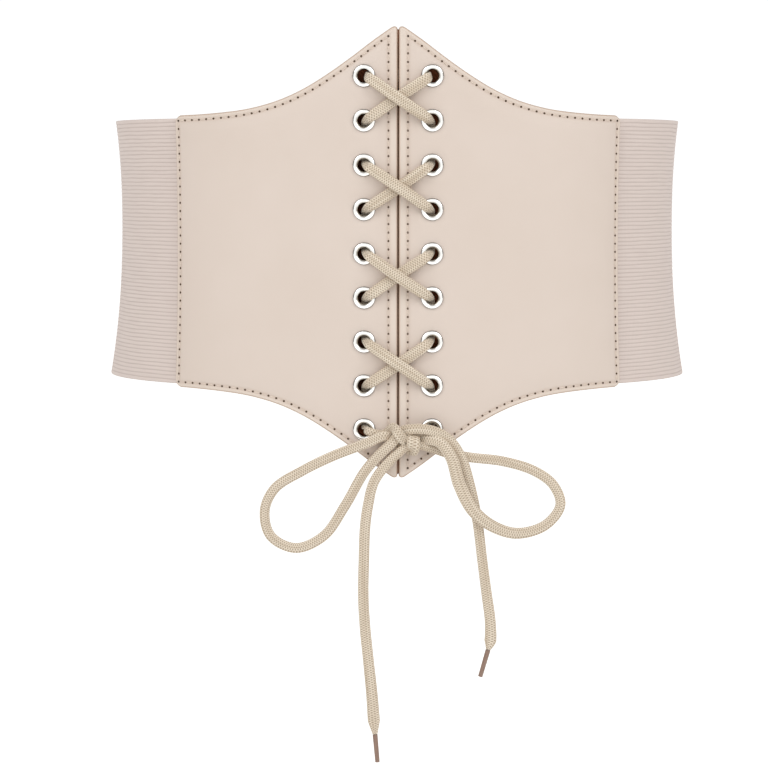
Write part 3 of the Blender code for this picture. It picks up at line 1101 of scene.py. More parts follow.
@dataclass(frozen=True)
class LeatherPattern:
    """The flat pattern of a leather piece, in millimetres, with its stitch line and its edges.

    The arcs run from first_arc to last_arc. The seam fields say how far the stitch line keeps from each edge.
    """

    name: str
    first_arc: float
    last_arc: float
    first_rounding: float
    last_rounding: float
    first_seam: float
    last_seam: float
    end_seam: float
    side_height: float
    point_height: float
    edge: tuple[tuple[float, float], ...] = ((0.0, 0.0), (1.0, 0.0))
    reach: float = 0.0
    rim_radius: float = 0.9
    padding: float = 0.32
    padding_reach: float = 6.0
    pressed_reach: float = 1.7
    outline_rim: tuple[float, ...] = (0.0, 0.05, 0.2, 0.45, 0.8, 1.2, 1.8, 2.5, 3.5)
    outline_step: float = 1.5
    curve_points: int = 200

    def edge_height(self, arcs: np.ndarray) -> np.ndarray:
        """Half the height of the pattern before its corners are rounded.

        Args:
            arcs: Distances from the front centre.

        Returns:
            One half height for each arc, on a smooth curve through the rows of the edge.
        """
        if self.reach == 0.0:
            return np.full_like(arcs, self.side_height / 2)
        rows = np.array(self.edge)
        shares = np.clip(arcs / self.reach, 0.0, 1.0)
        slopes = np.empty(len(rows))
        slopes[1:-1] = (rows[2:, 1] - rows[:-2, 1]) / (rows[2:, 0] - rows[:-2, 0])
        slopes[0] = (rows[1, 1] - rows[0, 1]) / (rows[1, 0] - rows[0, 0])
        slopes[-1] = (rows[-1, 1] - rows[-2, 1]) / (rows[-1, 0] - rows[-2, 0])
        after = np.clip(np.searchsorted(rows[:, 0], shares, side="right"), 1, len(rows) - 1)
        width = rows[after, 0] - rows[after - 1, 0]
        t = (shares - rows[after - 1, 0]) / width
        share = (
            rows[after - 1, 1] * (1 + 2 * t) * (1 - t) ** 2
            + rows[after, 1] * t * t * (3 - 2 * t)
            + slopes[after - 1] * width * t * (1 - t) ** 2
            - slopes[after] * width * t * t * (1 - t)
        )
        return self.side_height / 2 + share * (self.point_height - self.side_height) / 2

    @staticmethod
    def rounded_off(distances: np.ndarray, radius: float) -> np.ndarray:
        """How much a corner of this radius takes off, at distances from the corner's side."""
        inside = np.clip(radius - distances, 0.0, radius)
        return radius - np.sqrt(radius * radius - inside**2)

    def half_height(self, arcs: np.ndarray) -> np.ndarray:
        """Half the height of the pattern with its corners rounded.

        Args:
            arcs: Distances from the front centre.

        Returns:
            One half height for each arc.
        """
        taken = self.rounded_off(arcs - self.first_arc, self.first_rounding)
        taken = taken + self.rounded_off(self.last_arc - arcs, self.last_rounding)
        return self.edge_height(arcs) - taken

    @cached_property
    def outline(self) -> np.ndarray:
        """The pattern's edge.

        Returns:
            A closed line of flat points.
        """
        arcs = graded(self.first_arc, self.last_arc, self.outline_rim, ((0.0, self.outline_step),))
        tops = self.half_height(arcs)
        upper = np.column_stack((arcs, tops))
        lower = np.column_stack((arcs, -tops))[::-1]
        return np.concatenate((upper, lower, upper[:1]))

    def inside_edge(self, arcs: np.ndarray, heights: np.ndarray) -> np.ndarray:
        """How far flat points lie from the pattern's edge."""
        return distance_to_line(np.column_stack((arcs, heights)), self.outline)

    def inside_seam(self, arcs: np.ndarray, heights: np.ndarray) -> np.ndarray:
        """How far flat points lie inside the stitch line.

        Args:
            arcs: Distances from the front centre.
            heights: Heights.

        Returns:
            One distance for each point, negative where it lies outside the line.
        """
        slope = np.gradient(self.edge_height(self.slope_arcs), self.slope_arcs)
        lean = np.cos(np.arctan(np.interp(arcs, self.slope_arcs, slope)))
        from_end = (self.edge_height(arcs) - np.abs(heights)) * lean - self.end_seam
        from_first = arcs - self.first_arc - self.first_seam
        from_last = self.last_arc - self.last_seam - arcs
        return np.minimum(np.minimum(from_first, from_last), from_end)

    @cached_property
    def slope_arcs(self) -> np.ndarray:
        """Arcs at which the slope of the long edge is read."""
        return np.linspace(self.first_arc, self.last_arc, self.curve_points)

    def face_relief(self, arcs: np.ndarray, heights: np.ndarray) -> np.ndarray:
        """How far the face stands over its nominal lift, apart from the rolled edge.

        Args:
            arcs: Distances from the front centre.
            heights: Heights.

        Returns:
            One rise for each point: padded inside the seam, sunk along it and flat round each eyelet.
        """
        inside = self.inside_seam(arcs, heights)
        rise = self.padding * smooth_step(inside / self.padding_reach)
        rise -= STITCHING.groove_depth * np.exp(-((inside / STITCHING.groove_width) ** 2))
        if self.reach:
            for arc, height in EYELETS.column:
                beyond = np.hypot(arcs - arc, heights - height) - EYELETS.flange_radius
                rise *= 1 - np.exp(-((np.maximum(beyond, 0.0) / self.pressed_reach) ** 2))
        return rise

    def seam_runs(self) -> list[np.ndarray]:
        """The straight or curved runs of the stitch line.

        Returns:
            The points of each run, from corner to corner.
        """
        ends = (self.first_arc + self.first_seam, self.last_arc - self.last_seam)
        arcs = np.linspace(*ends, self.curve_points)
        slope = np.gradient(self.edge_height(arcs), arcs)
        tops = self.edge_height(arcs) - self.end_seam / np.cos(np.arctan(slope))
        upper = np.column_stack((arcs, tops))
        lower = np.column_stack((arcs, -tops))
        return [upper, lower, np.array([lower[0], upper[0]]), np.array([lower[-1], upper[-1]])]


@dataclass(frozen=True)
class LeatherPiece:
    """A stitched leather piece on one side of the belt, or across its back."""

    pattern: LeatherPattern
    side: Side
    stands_for: str
    zones: tuple[tuple[float, float], ...]
    row_step: float = 1.3
    rim_fade: float = 0.9
    groove_shade: float = 0.32
    # Distances from an edge at which points lie, to turn the rolled edge and the groove smoothly
    rim: tuple[float, ...] = (0.0, 0.05, 0.2, 0.45, 0.8, 1.2, 1.6, 2.0, 2.4, 2.9, 3.5, 4.1, 4.7, 5.4, 6.3)

    def sheet(self) -> bpy.types.Object:
        """Lay out the pattern with points close together along its edges.

        Returns:
            The sheet, with one layer.
        """
        pattern = self.pattern
        arcs = graded(pattern.first_arc, pattern.last_arc, self.rim, self.zones)
        halves = pattern.half_height(arcs)
        rim = np.array(self.rim)
        count = round(2 * (halves.max() - rim[-1]) / self.row_step)
        inner = np.linspace(-1.0, 1.0, count + 1)[1:-1, None] * (halves - rim[-1])
        below = -halves + rim[:, None]
        return new_flat_sheet(pattern.name, arcs, np.concatenate((below, inner, -below[::-1])))

    def punch(self, sheet: bpy.types.Object) -> None:
        """Cut a round hole for each eyelet: faces are deleted and the edge left is drawn to a circle.

        Args:
            sheet: The panel's sheet, with one layer.
        """
        radius = EYELETS.hole_radius
        for arc, height in EYELETS.column:
            faces = sheet.data.polygons
            middles = np.empty(len(faces) * 3)
            faces.foreach_get("center", middles)
            middles = middles.reshape(-1, 3)
            edit_faces(sheet, np.hypot(middles[:, 0] - arc, middles[:, 2] - height) < radius)
            bpy.ops.mesh.delete(type="FACE")
            end_edit()
            points = points_of(sheet)
            ways = points[:, (0, 2)] - (arc, height)
            reach = np.hypot(*ways.T)
            rim = self.open_edge(sheet) & (reach < 2 * radius)
            points[rim, 0] = arc + ways[rim, 0] * radius / reach[rim]
            points[rim, 2] = height + ways[rim, 1] * radius / reach[rim]
            move_points(sheet, points)

    @staticmethod
    def open_edge(sheet: bpy.types.Object) -> np.ndarray:
        """Find the vertices of a sheet that lie on an open edge.

        Args:
            sheet: A sheet with one layer.

        Returns:
            One true or false value for each vertex.
        """
        keys = [key for face in sheet.data.polygons for key in face.edge_keys]
        pairs, uses = np.unique(np.array(keys), axis=0, return_counts=True)
        on_edge = np.zeros(len(sheet.data.vertices), bool)
        on_edge[pairs[uses == 1].ravel()] = True
        return on_edge

    def lifts(self, arcs: np.ndarray, heights: np.ndarray) -> tuple[np.ndarray, np.ndarray]:
        """The lift of the face and of the back at flat points, with the edge rolled over."""
        rolled = self.pattern.rounded_off(self.pattern.inside_edge(arcs, heights), self.pattern.rim_radius)
        return PANEL_FACE + self.pattern.face_relief(arcs, heights) - rolled, PANEL_BACK + rolled

    def build(self) -> bpy.types.Object:
        """Cut, punch, thicken, roll and wrap the piece, and sew its seam.

        Returns:
            The leather piece.
        """
        pattern = self.pattern
        sheet = self.sheet()
        if pattern.reach:
            self.punch(sheet)
        front = thicken(sheet)
        flat = points_of(sheet)
        arcs, heights = flat[:front, 0], flat[:front, 2]
        flat[:, 1] = -np.concatenate(self.lifts(arcs, heights))
        inside = pattern.inside_seam(arcs, heights)
        # The rim mark lightens the rim: partly real burnish, partly a painted highlight
        rim = smooth_step(-inside / self.rim_fade)
        # Painted shade: darker in the stitch groove and, through turned, round the rolled edge
        painted_leather_shade = self.groove_shade * np.exp(-((inside / STITCHING.groove_width) ** 2))
        turned = 1 - smooth_step(pattern.inside_edge(arcs, heights) / pattern.rim_radius)
        mark_points(sheet, "rim", np.concatenate((rim, rim)))
        mark_points(sheet, "painted_leather_shade", np.concatenate((np.maximum(painted_leather_shade, turned), turned)))
        for finish in (LEATHER, BACKING):
            sheet.data.materials.append(finish.material)
        is_back = [min(face.vertices) >= front for face in sheet.data.polygons]
        sheet.data.polygons.foreach_set("material_index", np.array(is_back, np.int32))
        wrap_round(sheet, flat, self.side)
        finish_piece(sheet, LEATHER, (self.stands_for,))
        self.sew()
        return sheet

    def sew(self) -> None:
        """Add the threads and needle holes of the seam, on the face and on the back."""
        runs = [STITCHING.spaced(run) for run in self.pattern.seam_runs()]
        holes = np.concatenate(runs)
        middles = np.concatenate([(run[1:] + run[:-1]) / 2 for run in runs])
        spans = np.concatenate([np.diff(run, axis=0) for run in runs])
        ways = spans / np.linalg.norm(spans, axis=1)[:, None]
        face, back = self.lifts(*middles.T)
        lifts = np.concatenate((face + STITCHING.thread_rise, back - STITCHING.thread_rise))
        middles, ways = np.tile(middles, (2, 1)), np.tile(ways, (2, 1))
        stitches = np.column_stack((middles[:, 0], -lifts, middles[:, 1]))
        seam = scatter(self.pattern.name + "_thread", STITCHING.thread(), stitches, ways)
        wrap_round(seam, points_of(seam), self.side)
        finish_piece(seam, THREAD)
        rims = self.lifts(*holes.T)[0] + STITCHING.hole_rise
        pits = np.column_stack((holes[:, 0], -rims, holes[:, 1]))
        flat_ways = np.tile((1.0, 0.0), (len(pits), 1))
        pierced = scatter(self.pattern.name + "_needle_holes", STITCHING.hole(), pits, flat_ways)
        move_points(pierced, WAIST.wrap(points_of(pierced) * (self.side.value, 1.0, 1.0)))
        if self.side is Side.LEFT:
            pierced.data.flip_normals()
        finish_piece(pierced, HOLE)


# A panel's edge between its side and its point: the share of the width from the front centre, and the share
# of the extra height of the point that is left there
PANEL_EDGE = (
    (0.00, 1.000),
    (0.10, 0.820),
    (0.20, 0.624),
    (0.30, 0.442),
    (0.40, 0.285),
    (0.50, 0.168),
    (0.60, 0.091),
    (0.70, 0.045),
    (0.85, 0.013),
    (1.00, 0.000),
)
PANEL_WIDTH = 102.4
CENTRE_GAP = 0.5
CLOSURE_WIDTH = 24.0
# How close together a sheet's columns are: up to a distance from the first edge, then for the rest
PANEL_ZONES = ((22.0, 1.0), (0.0, 1.9))
CLOSURE_ZONES = ((0.0, 1.2),)


def panel_pattern(side: Side) -> LeatherPattern:
    """The pattern of a front panel."""
    return LeatherPattern(
        name=f"panel_{side.label}_leather",
        first_arc=CENTRE_GAP / 2,
        last_arc=PANEL_WIDTH,
        first_rounding=3.0,
        last_rounding=3.5,
        first_seam=4.0,
        last_seam=2.0,
        end_seam=2.4,
        side_height=122.0,
        point_height=201.0,
        edge=PANEL_EDGE,
        reach=PANEL_WIDTH,
    )


def closure_pattern() -> LeatherPattern:
    """The pattern of the plain strip over the ends of the elastic."""
    return LeatherPattern(
        name="closure_leather",
        first_arc=WAIST.half_round - CLOSURE_WIDTH / 2,
        last_arc=WAIST.half_round + CLOSURE_WIDTH / 2,
        first_rounding=2.5,
        last_rounding=2.5,
        first_seam=2.4,
        last_seam=2.4,
        end_seam=2.4,
        side_height=WAIST.band_height,
        point_height=WAIST.band_height,
    )


@dataclass(frozen=True)
class ElasticBand:
    """A band of ribbed elastic on one side, in millimetres."""

    side: Side
    tuck: float = 12.0
    back_gap: float = 1.0
    rib_count: int = 67
    rows_in_rib: int = 6
    column: float = 4.2
    crown: float = 0.70
    valley: float = 0.52
    dome_power: float = 2.4
    wander: float = 0.16
    wander_lengths: tuple[float, ...] = (19.0, 31.0, 74.0)
    seed: int = 11

    @property
    def first_arc(self) -> float:
        """Where the band starts, behind its panel's side edge."""
        return PANEL_WIDTH - self.tuck

    @property
    def last_arc(self) -> float:
        """Where the band ends, at the middle of the back."""
        return WAIST.half_round - self.back_gap / 2

    def wandering(self, arcs: np.ndarray) -> np.ndarray:
        """How far each rib's lower border wanders up or down along the band.

        Args:
            arcs: The arcs of the columns.

        Returns:
            Borders by columns, with both of the band's own edges left straight.
        """
        chance = np.random.default_rng(self.seed + self.side.value)
        borders = self.rib_count + 1
        total = np.zeros((borders, len(arcs)))
        for wave_length in self.wander_lengths:
            phases = chance.uniform(0.0, 2 * math.pi, borders)
            total += np.sin(2 * math.pi * arcs / wave_length + phases[:, None])
        total *= self.wander / len(self.wander_lengths)
        total[0] = 0.0
        total[-1] = 0.0
        return total

    def build(self) -> bpy.types.Object:
        """Weave the ribs, thicken and wrap the band.

        Returns:
            The band.
        """
        count = math.ceil((self.last_arc - self.first_arc) / self.column)
        arcs = np.linspace(self.first_arc, self.last_arc, count + 1)
        phase = np.arange(self.rib_count * self.rows_in_rib + 1) / self.rows_in_rib
        borders = np.linspace(-WAIST.band_height / 2, WAIST.band_height / 2, self.rib_count + 1)
        wandered = borders[:, None] + self.wandering(arcs)
        below = np.minimum(phase.astype(int), self.rib_count - 1)
        share = (phase - below)[:, None]
        heights = wandered[below] * (1 - share) + wandered[below + 1] * share
        sheet = new_flat_sheet(f"band_{self.side.label}_elastic", arcs, heights)
        front = thicken(sheet)
        flat = points_of(sheet)
        dome = 1 - np.abs(2 * (phase % 1.0) - 1) ** self.dome_power
        half_wall = self.valley + (self.crown - self.valley) * np.repeat(dome, len(arcs))
        flat[:, 1] = -BAND_WALL / 2 + np.concatenate((-half_wall, half_wall))
        weave = np.column_stack((flat[:front, 0], np.repeat(phase, len(arcs))))
        map_uv(sheet, "weave", np.concatenate((weave, weave)))
        wrap_round(sheet, flat, self.side)
        return finish_piece(sheet, ELASTIC, (f"elastic_{self.side.label}",))

    def declare(self, band: bpy.types.Object) -> None:
        """Work out the band's flat height and length, in metres, between its panel and the closure.

        Args:
            band: The band. It is not used.
        """
        flat = (WAIST.band_height * MM, (self.last_arc - self.first_arc) * MM)


@dataclass(frozen=True)
class ModestyStrip:
    """The cloth behind the lacing, sewn to the left panel's back, in millimetres, dark as painted shade."""

    wall: float = 1.0
    reach: float = 21.0
    seam_arc: float = 34.0
    margin: float = 8.0
    step: float = 6.0
    inset: float = 2.4
    column: float = 1.6
    row: float = 2.4
    held_lace_depth: float = 4.45

    def face_lift(self, arcs: np.ndarray) -> np.ndarray:
        """The lift of the strip's face: on the panel's back along its margin, behind the lace past it.

        Args:
            arcs: Distances from the front centre.

        Returns:
            One lift for each arc.
        """
        at_seam = PANEL_BACK - CLEARANCE
        behind_lace = PANEL_FACE - self.held_lace_depth - LACE_RADIUS - CLEARANCE
        share = smooth_step((arcs + self.seam_arc - self.margin) / self.step)
        return at_seam + (behind_lace - at_seam) * share

    def build(self, panel: bpy.types.Object, pattern: LeatherPattern) -> bpy.types.Object:
        """Cut, thicken and wrap the strip.

        Args:
            panel: The left panel, which holds it. It is not used.
            pattern: The panels' pattern, whose edge the strip follows.

        Returns:
            The strip.
        """
        width = self.seam_arc + self.reach
        arcs = np.linspace(-self.seam_arc, self.reach, round(width / self.column) + 1)
        halves = pattern.edge_height(np.abs(arcs)) - self.inset
        rows = round(2 * halves.max() / self.row)
        heights = np.linspace(-1.0, 1.0, rows + 1)[:, None] * halves
        sheet = new_flat_sheet("modesty_strip_twill", arcs, heights)
        front = thicken(sheet)
        flat = points_of(sheet)
        lifts = self.face_lift(flat[:front, 0])
        flat[:, 1] = -np.concatenate((lifts, lifts - self.wall))
        wrap_round(sheet, flat)
        finish_piece(sheet, PAINTED_SHADE_TWILL, ("modesty_panel",), smooth=40.0)
        return sheet


@dataclass(frozen=True)
class Braid:
    """A flattened tube of braid that is swept along a lace, in millimetres.

    The real braid has 16 strands and a lay of 0.7 mm or so. They are too fine to show, so both are drawn
    coarser.
    """

    sides: int = 48
    ring_step: float = 0.28
    strands: int = 6
    lay: float = 1.1
    relief: float = 0.05
    squareness: float = 2.2
    flat_squareness: float = 4.2
    twist_reach: float = 2.5
    # How level the wanted way has to be to count, and how much it counts at the least
    sure_weight: float = 0.2
    least_weight: float = 0.02

    def faced(self, path: np.ndarray, facing: np.ndarray) -> tuple[np.ndarray, np.ndarray]:
        """Turn the flat side of the lace to face a given way, wherever its run allows.

        Args:
            path: The centre line, as close points.
            facing: The way that the flat side should face at each point.

        Returns:
            The way that the flat side faces, and the way that the width runs, at each point.
        """
        ways = np.gradient(path, axis=0)
        ways /= np.linalg.norm(ways, axis=1)[:, None]
        carried = np.empty_like(path)
        before = facing[0]
        for index, way in enumerate(ways):
            turned = before - (before @ way) * way
            before = carried[index] = turned / np.linalg.norm(turned)
        across = np.cross(ways, carried)
        level = facing - np.sum(facing * ways, axis=1)[:, None] * ways
        weight = np.sum(level * level, axis=1)
        wanted = np.arctan2(np.sum(level * across, axis=1), np.sum(level * carried, axis=1))
        sure = np.flatnonzero(weight > self.sure_weight)
        # The flat side may face either way, so angles half a turn apart are the same
        unwound = np.unwrap(2 * wanted[sure]) / 2
        wanted = np.interp(np.arange(len(path)), sure, unwound)
        turn = self.eased(wanted, np.clip(weight, self.least_weight, 1.0))
        cosine, sine = np.cos(turn)[:, None], np.sin(turn)[:, None]
        return carried * cosine + across * sine, across * cosine - carried * sine

    def eased(self, wanted: np.ndarray, weight: np.ndarray) -> np.ndarray:
        """Ease a row of angles so that the lace doesn't twist abruptly.

        Args:
            wanted: The angle that each point should have.
            weight: How much each point's own angle counts.

        Returns:
            The angles at which the wants and the lace's stiffness balance, one for each point.
        """
        stiffness = (self.twist_reach / self.ring_step) ** 2
        count = len(wanted)
        diagonal = weight + stiffness * np.where((np.arange(count) % (count - 1)) == 0, 1.0, 2.0)
        scaled = np.empty(count)
        values = np.empty(count)
        scaled[0] = -stiffness / diagonal[0]
        values[0] = weight[0] * wanted[0] / diagonal[0]
        for index in range(1, count):
            pivot = diagonal[index] + stiffness * scaled[index - 1]
            scaled[index] = -stiffness / pivot
            values[index] = (weight[index] * wanted[index] + stiffness * values[index - 1]) / pivot
        for index in range(count - 2, -1, -1):
            values[index] -= scaled[index] * values[index + 1]
        return values

    def sweep(
        self, name: str, path: np.ndarray, facing: np.ndarray, widths: np.ndarray, thicknesses: np.ndarray
    ) -> bpy.types.Object:
        """Braid a lace along its centre line.

        Args:
            name: The piece's name.
            path: The centre line's close points, in metres.
            facing: The way that the flat side should face at each point.
            widths: The width at each point, in millimetres.
            thicknesses: The thickness at each point, in millimetres.

        Returns:
            The lace, closed at both ends, with a UV map that counts strands round it and lays along it.
        """
        flat_way, wide_way = self.faced(path, facing)
        turn = 2 * math.pi * np.arange(self.sides) / self.sides
        flatness = 1 - thicknesses / widths
        power = 2 / (self.squareness + (self.flat_squareness - self.squareness) * flatness)[:, None]
        wide = np.sign(np.cos(turn)) * np.abs(np.cos(turn)) ** power
        thick = np.sign(np.sin(turn)) * np.abs(np.sin(turn)) ** power
        middle = len(path) // 2
        rim = np.column_stack((wide[middle] * widths[middle], thick[middle] * thicknesses[middle]))
        round_rim = gone_along(np.concatenate((rim, rim[:1])))
        u = round_rim / round_rim[-1] * self.strands
        v = gone_along(path) / MM / self.lay
        leads = (u[None, :-1] + v[:, None], u[None, :-1] - v[:, None])
        crown = np.maximum(*(np.sin(2 * math.pi * lead) for lead in leads))
        swell = 1 + self.relief * crown / np.minimum(widths, thicknesses)[:, None] * 2
        offset = (
            wide_way[:, None, :] * (wide * swell * widths[:, None] / 2)[:, :, None]
            + flat_way[:, None, :] * (thick * swell * thicknesses[:, None] / 2)[:, :, None]
        )
        points = path[:, None, :] + offset * MM
        rings, sides = len(path), self.sides
        ring, side = np.meshgrid(np.arange(rings - 1), np.arange(sides), indexing="ij")
        after = (side + 1) % sides
        this, following = ring * sides, (ring + 1) * sides
        quads = np.stack((this + side, this + after, following + after, following + side), axis=-1)
        caps = [list(range(sides))[::-1], list(range((rings - 1) * sides, rings * sides))]
        lace = mesh_piece(name, points.reshape(-1, 3), quads.reshape(-1, 4).tolist() + caps)
        steps = ((0, 0), (1, 0), (1, 1), (0, 1))
        corners = [np.stack((u[side + across], v[ring + along]), axis=-1) for across, along in steps]
        corners = np.concatenate((np.stack(corners, axis=2).reshape(-1, 2), np.zeros((2 * sides, 2))))
        lace.data.uv_layers.new(name="braid").data.foreach_set("uv", corners.astype(np.float32).ravel())
        even_normals(lace)
        return lace


BRAIDING = Braid()


# How many times closer together a curve's points first lie than they do in the end
FINER = 4


def smooth_curve(points: np.ndarray, step: float) -> tuple[np.ndarray, np.ndarray]:
    """Draw a smooth curve through a lace's own points.

    Args:
        points: The points, in metres.
        step: The spacing of the curve's points, in metres.

    Returns:
        Evenly spaced points along the curve, and for each the place in the list of points, with its share.
    """
    ends = np.concatenate(([2 * points[0] - points[1]], points, [2 * points[-1] - points[-2]]))
    curve, marks = [], []
    for index in range(len(points) - 1):
        p0, p1, p2, p3 = ends[index:index + 4]
        t1 = np.linalg.norm(p1 - p0) ** 0.5
        t2 = t1 + np.linalg.norm(p2 - p1) ** 0.5
        t3 = t2 + np.linalg.norm(p3 - p2) ** 0.5
        count = max(FINER, int(np.linalg.norm(p2 - p1) / step * FINER))
        for part in range(count):
            t = t1 + (t2 - t1) * part / count
            a1 = p0 + (p1 - p0) * t / t1
            a2 = p1 + (p2 - p1) * (t - t1) / (t2 - t1)
            a3 = p2 + (p3 - p2) * (t - t2) / (t3 - t2)
            b1 = a1 + (a2 - a1) * t / t2
            b2 = a2 + (a3 - a2) * (t - t1) / (t3 - t1)
            curve.append(b1 + (b2 - b1) * (t - t1) / (t2 - t1))
            marks.append(index + part / count)
    curve = np.array([*curve, points[-1]])
    marks = np.array([*marks, len(points) - 1.0])
    gone = gone_along(curve)
    even = np.linspace(0.0, gone[-1], round(gone[-1] / step) + 1)
    places = np.column_stack([np.interp(even, gone, curve[:, k]) for k in range(3)])
    return places, np.interp(even, gone, marks)


@dataclass(frozen=True)
class HeldLacing:
    """The stretch of the lace that the eyelets hold, in millimetres."""

    flange_rise: float = 0.7
    back_flange_rise: float = 0.4
    hole_width: float = 3.8
    hole_pull: float = 0.65
    cross_width: float = 4.9
    thickness: float = 2.4
    easing: float = 7.0

    @cached_property
    def holes(self) -> np.ndarray:
        """The eyelets that the lace passes.

        Returns:
            Rows of arc and height, in order.
        """
        side = Side.LEFT.value
        climb = [(side, EYELETS.rows)]
        for row in range(EYELETS.rows - 1, 0, -2):
            climb.append((side, row))
            side = -side
            climb.append((side, row - 1))
        passed = climb + [(-turned, row) for turned, row in reversed(climb)]
        return np.array([(side * EYELETS.column_arc, EYELETS.row_height(row)) for side, row in passed])

    @staticmethod
    def half_way(
        centre: np.ndarray, towards: np.ndarray, stops: tuple[tuple[float, float], ...]
    ) -> list[tuple[np.ndarray, float]]:
        """Lead the lace between an eyelet's middle and its rim, in line with the next eyelet.

        Args:
            centre: Where the lace passes the eyelet.
            towards: The eyelet that it comes from or goes to.
            stops: Shares of the flange's radius, each with its lift.

        Returns:
            The flat place and the lift of each stop.
        """
        way = (towards - centre) / np.linalg.norm(towards - centre)
        return [(centre + way * EYELETS.flange_radius * share, out) for share, out in stops]

    def flat_route(self) -> np.ndarray:
        """The route in the flat.

        The lace lies behind the panels between crosses, and over the front in each cross, where the strand
        that rises to the left lies on top. In each eyelet it is pulled towards the middle of the front.

        Returns:
            Rows of arc, minus lift and height.
        """
        behind = -PANEL_WALL - 2 * CLEARANCE - self.back_flange_rise - LACE_RADIUS
        over_flange = 2 * CLEARANCE + self.flange_rise + LACE_RADIUS
        lower = CLEARANCE + LACE_RADIUS
        upper = lower + 2 * LACE_RADIUS + CLEARANCE
        back_rim = -PANEL_WALL - CLEARANCE
        # On the way into an eyelet from behind and on the way out in front: the distance from its middle,
        # as a share of the flange's radius, and the lift over the panel's face
        back_half = ((0.75, behind), (0.36, behind + 0.4), (0.14, back_rim - 0.1))
        front_half = ((0.24, -0.2), (0.40, over_flange - 1.2), (0.72, over_flange - 0.3))
        flat = self.holes
        route = []
        for index, hole in enumerate(flat):
            centre = hole - (math.copysign(self.hole_pull, hole[0]), 0.0)
            comes_from_behind = index % 2 == 1
            back_hole = index - 1 if comes_from_behind else index + 1
            front_hole = index + 1 if comes_from_behind else index - 1
            passing = self.half_way(centre, flat[back_hole], back_half)
            if 0 <= front_hole < len(flat):
                passing += self.half_way(centre, flat[front_hole], front_half)
            else:
                passing.append((centre, back_rim))
            route += passing if comes_from_behind else passing[::-1]
            if comes_from_behind and index + 1 < len(flat):
                way = flat[index + 1] - centre
                route.append(((centre + flat[index + 1]) / 2, upper if way[0] * way[1] < 0 else lower))
        return np.array([(place[0], -PANEL_FACE - out, place[1]) for place, out in route])

    def build(self) -> bpy.types.Object:
        """Braid the held lace.

        Returns:
            The lace.
        """
        route = self.flat_route()
        path, marks = smooth_curve(WAIST.wrap(route), BRAIDING.ring_step * MM)
        flat = np.column_stack([np.interp(marks, np.arange(len(route)), route[:, k]) for k in range(3)])
        facing = (WAIST.wrap(flat - (0.0, 1.0, 0.0)) - WAIST.wrap(flat)) / MM
        reach = np.min(np.hypot(*(flat[:, None, (0, 2)] - self.holes).transpose(2, 0, 1)), axis=1)
        widths = self.hole_width + (self.cross_width - self.hole_width) * smooth_step(reach / self.easing)
        lace = BRAIDING.sweep("lacing_braid", path, facing, widths, np.full(len(path), self.thickness))
        return finish_piece(lace, BRAID, ("lacing",))


@dataclass(frozen=True)
class FreeLace:
    """A free strand of the lace, from its lowest eyelet through the knot, a loop and a tail to its tip.

    Each route point is x, the distance in front of the panels' face behind the knot, and z, in millimetres.
    Each station is the number of a route point and the lace's width and thickness there.
    """

    side: Side
    route: tuple[tuple[float, float, float], ...]
    stations: tuple[tuple[int, float, float], ...]
    length: float
    knot_height: float = -86.0
    width: float = 4.4
    # How many of the path's last points show the way that the tip follows
    end_points: int = 8

    def build(self) -> None:
        """Braid the strand and put its tip on it."""
        face = WAIST.wrap(np.array([(0.0, -PANEL_FACE, self.knot_height)]))[0][1]
        points = np.array([(x * MM, face - out * MM, z * MM) for x, out, z in self.route])
        path, marks = smooth_curve(points, BRAIDING.ring_step * MM)
        at, *sections = np.array(self.stations).T
        widths, thicknesses = (np.interp(marks, at, section) for section in sections)
        facing = np.tile((0.0, -1.0, 0.0), (len(path), 1))
        label = self.side.label
        lace = BRAIDING.sweep(f"free_lace_{label}_braid", path, facing, widths, thicknesses)
        finish_piece(lace, BRAID, (f"lace_{label}",))
        way = path[-1] - path[-self.end_points]
        tip = LaceTip().build(f"lace_tip_{label}_film", path[-1], way, f"aglet_{label}")


@dataclass(frozen=True)
class LaceTip:
    """A tip of rolled film, in millimetres."""

    length: float = 12.5
    radius: float = 1.12
    taper: float = 0.9
    film: float = 0.07
    gap: float = 0.3
    segments: int = 24
    # How nearly a face has to look along the tip to be its end, or sideways to be where the film overlaps
    end_facing: float = 0.9
    overlap_facing: float = 0.8

    def film_tube(self, name: str) -> bpy.types.Object:
        """Roll the film into a tube and fold its ends in.

        Args:
            name: The tip's name.

        Returns:
            The tip, upright round the origin, in millimetres.
        """
        bpy.ops.object.select_all(action="DESELECT")
        bpy.ops.mesh.primitive_cylinder_add(vertices=self.segments, radius=self.radius, depth=self.length)
        tip = take_primitive(name)
        edit_faces(tip, [face.normal.z > self.end_facing for face in tip.data.polygons])
        bpy.ops.transform.resize(value=(self.taper, self.taper, 1.0), center_override=(0.0, 0.0, 0.0))
        bpy.ops.mesh.inset(thickness=2 * self.film)
        bpy.ops.transform.translate(value=(0.0, 0.0, -2 * self.film))
        end_edit()
        edit_faces(tip, [face.normal.x > self.overlap_facing for face in tip.data.polygons])
        bpy.ops.mesh.extrude_region_move(TRANSFORM_OT_translate={"value": (self.film, 0.0, 0.0)})
        end_edit()
        rounding = {"width": self.film / 2, "segments": 2, "limit_method": "ANGLE", "angle_limit": 0.6}
        apply_modifier(tip, "BEVEL", rounding)
        even_normals(tip)
        return tip

    def build(self, name: str, end: np.ndarray, way: np.ndarray, stands_for: str) -> bpy.types.Object:
        """Put a tip on the end of a lace.

        Args:
            name: The piece's name.
            end: The end of the lace, in metres.
            way: The way that the lace runs there.
            stands_for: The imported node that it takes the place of.

        Returns:
            The tip.
        """
        tip = self.film_tube(name)
        heading = Vector(way).normalized()
        middle = Vector(end) + heading * (self.gap + self.length / 2) * MM
        turned = Matrix.Translation(middle) @ heading.to_track_quat("Z", "Y").to_matrix().to_4x4()
        tip.data.transform(turned @ Matrix.Scale(MM, 4))
        return finish_piece(tip, TIP, (stands_for,), smooth=35.0)


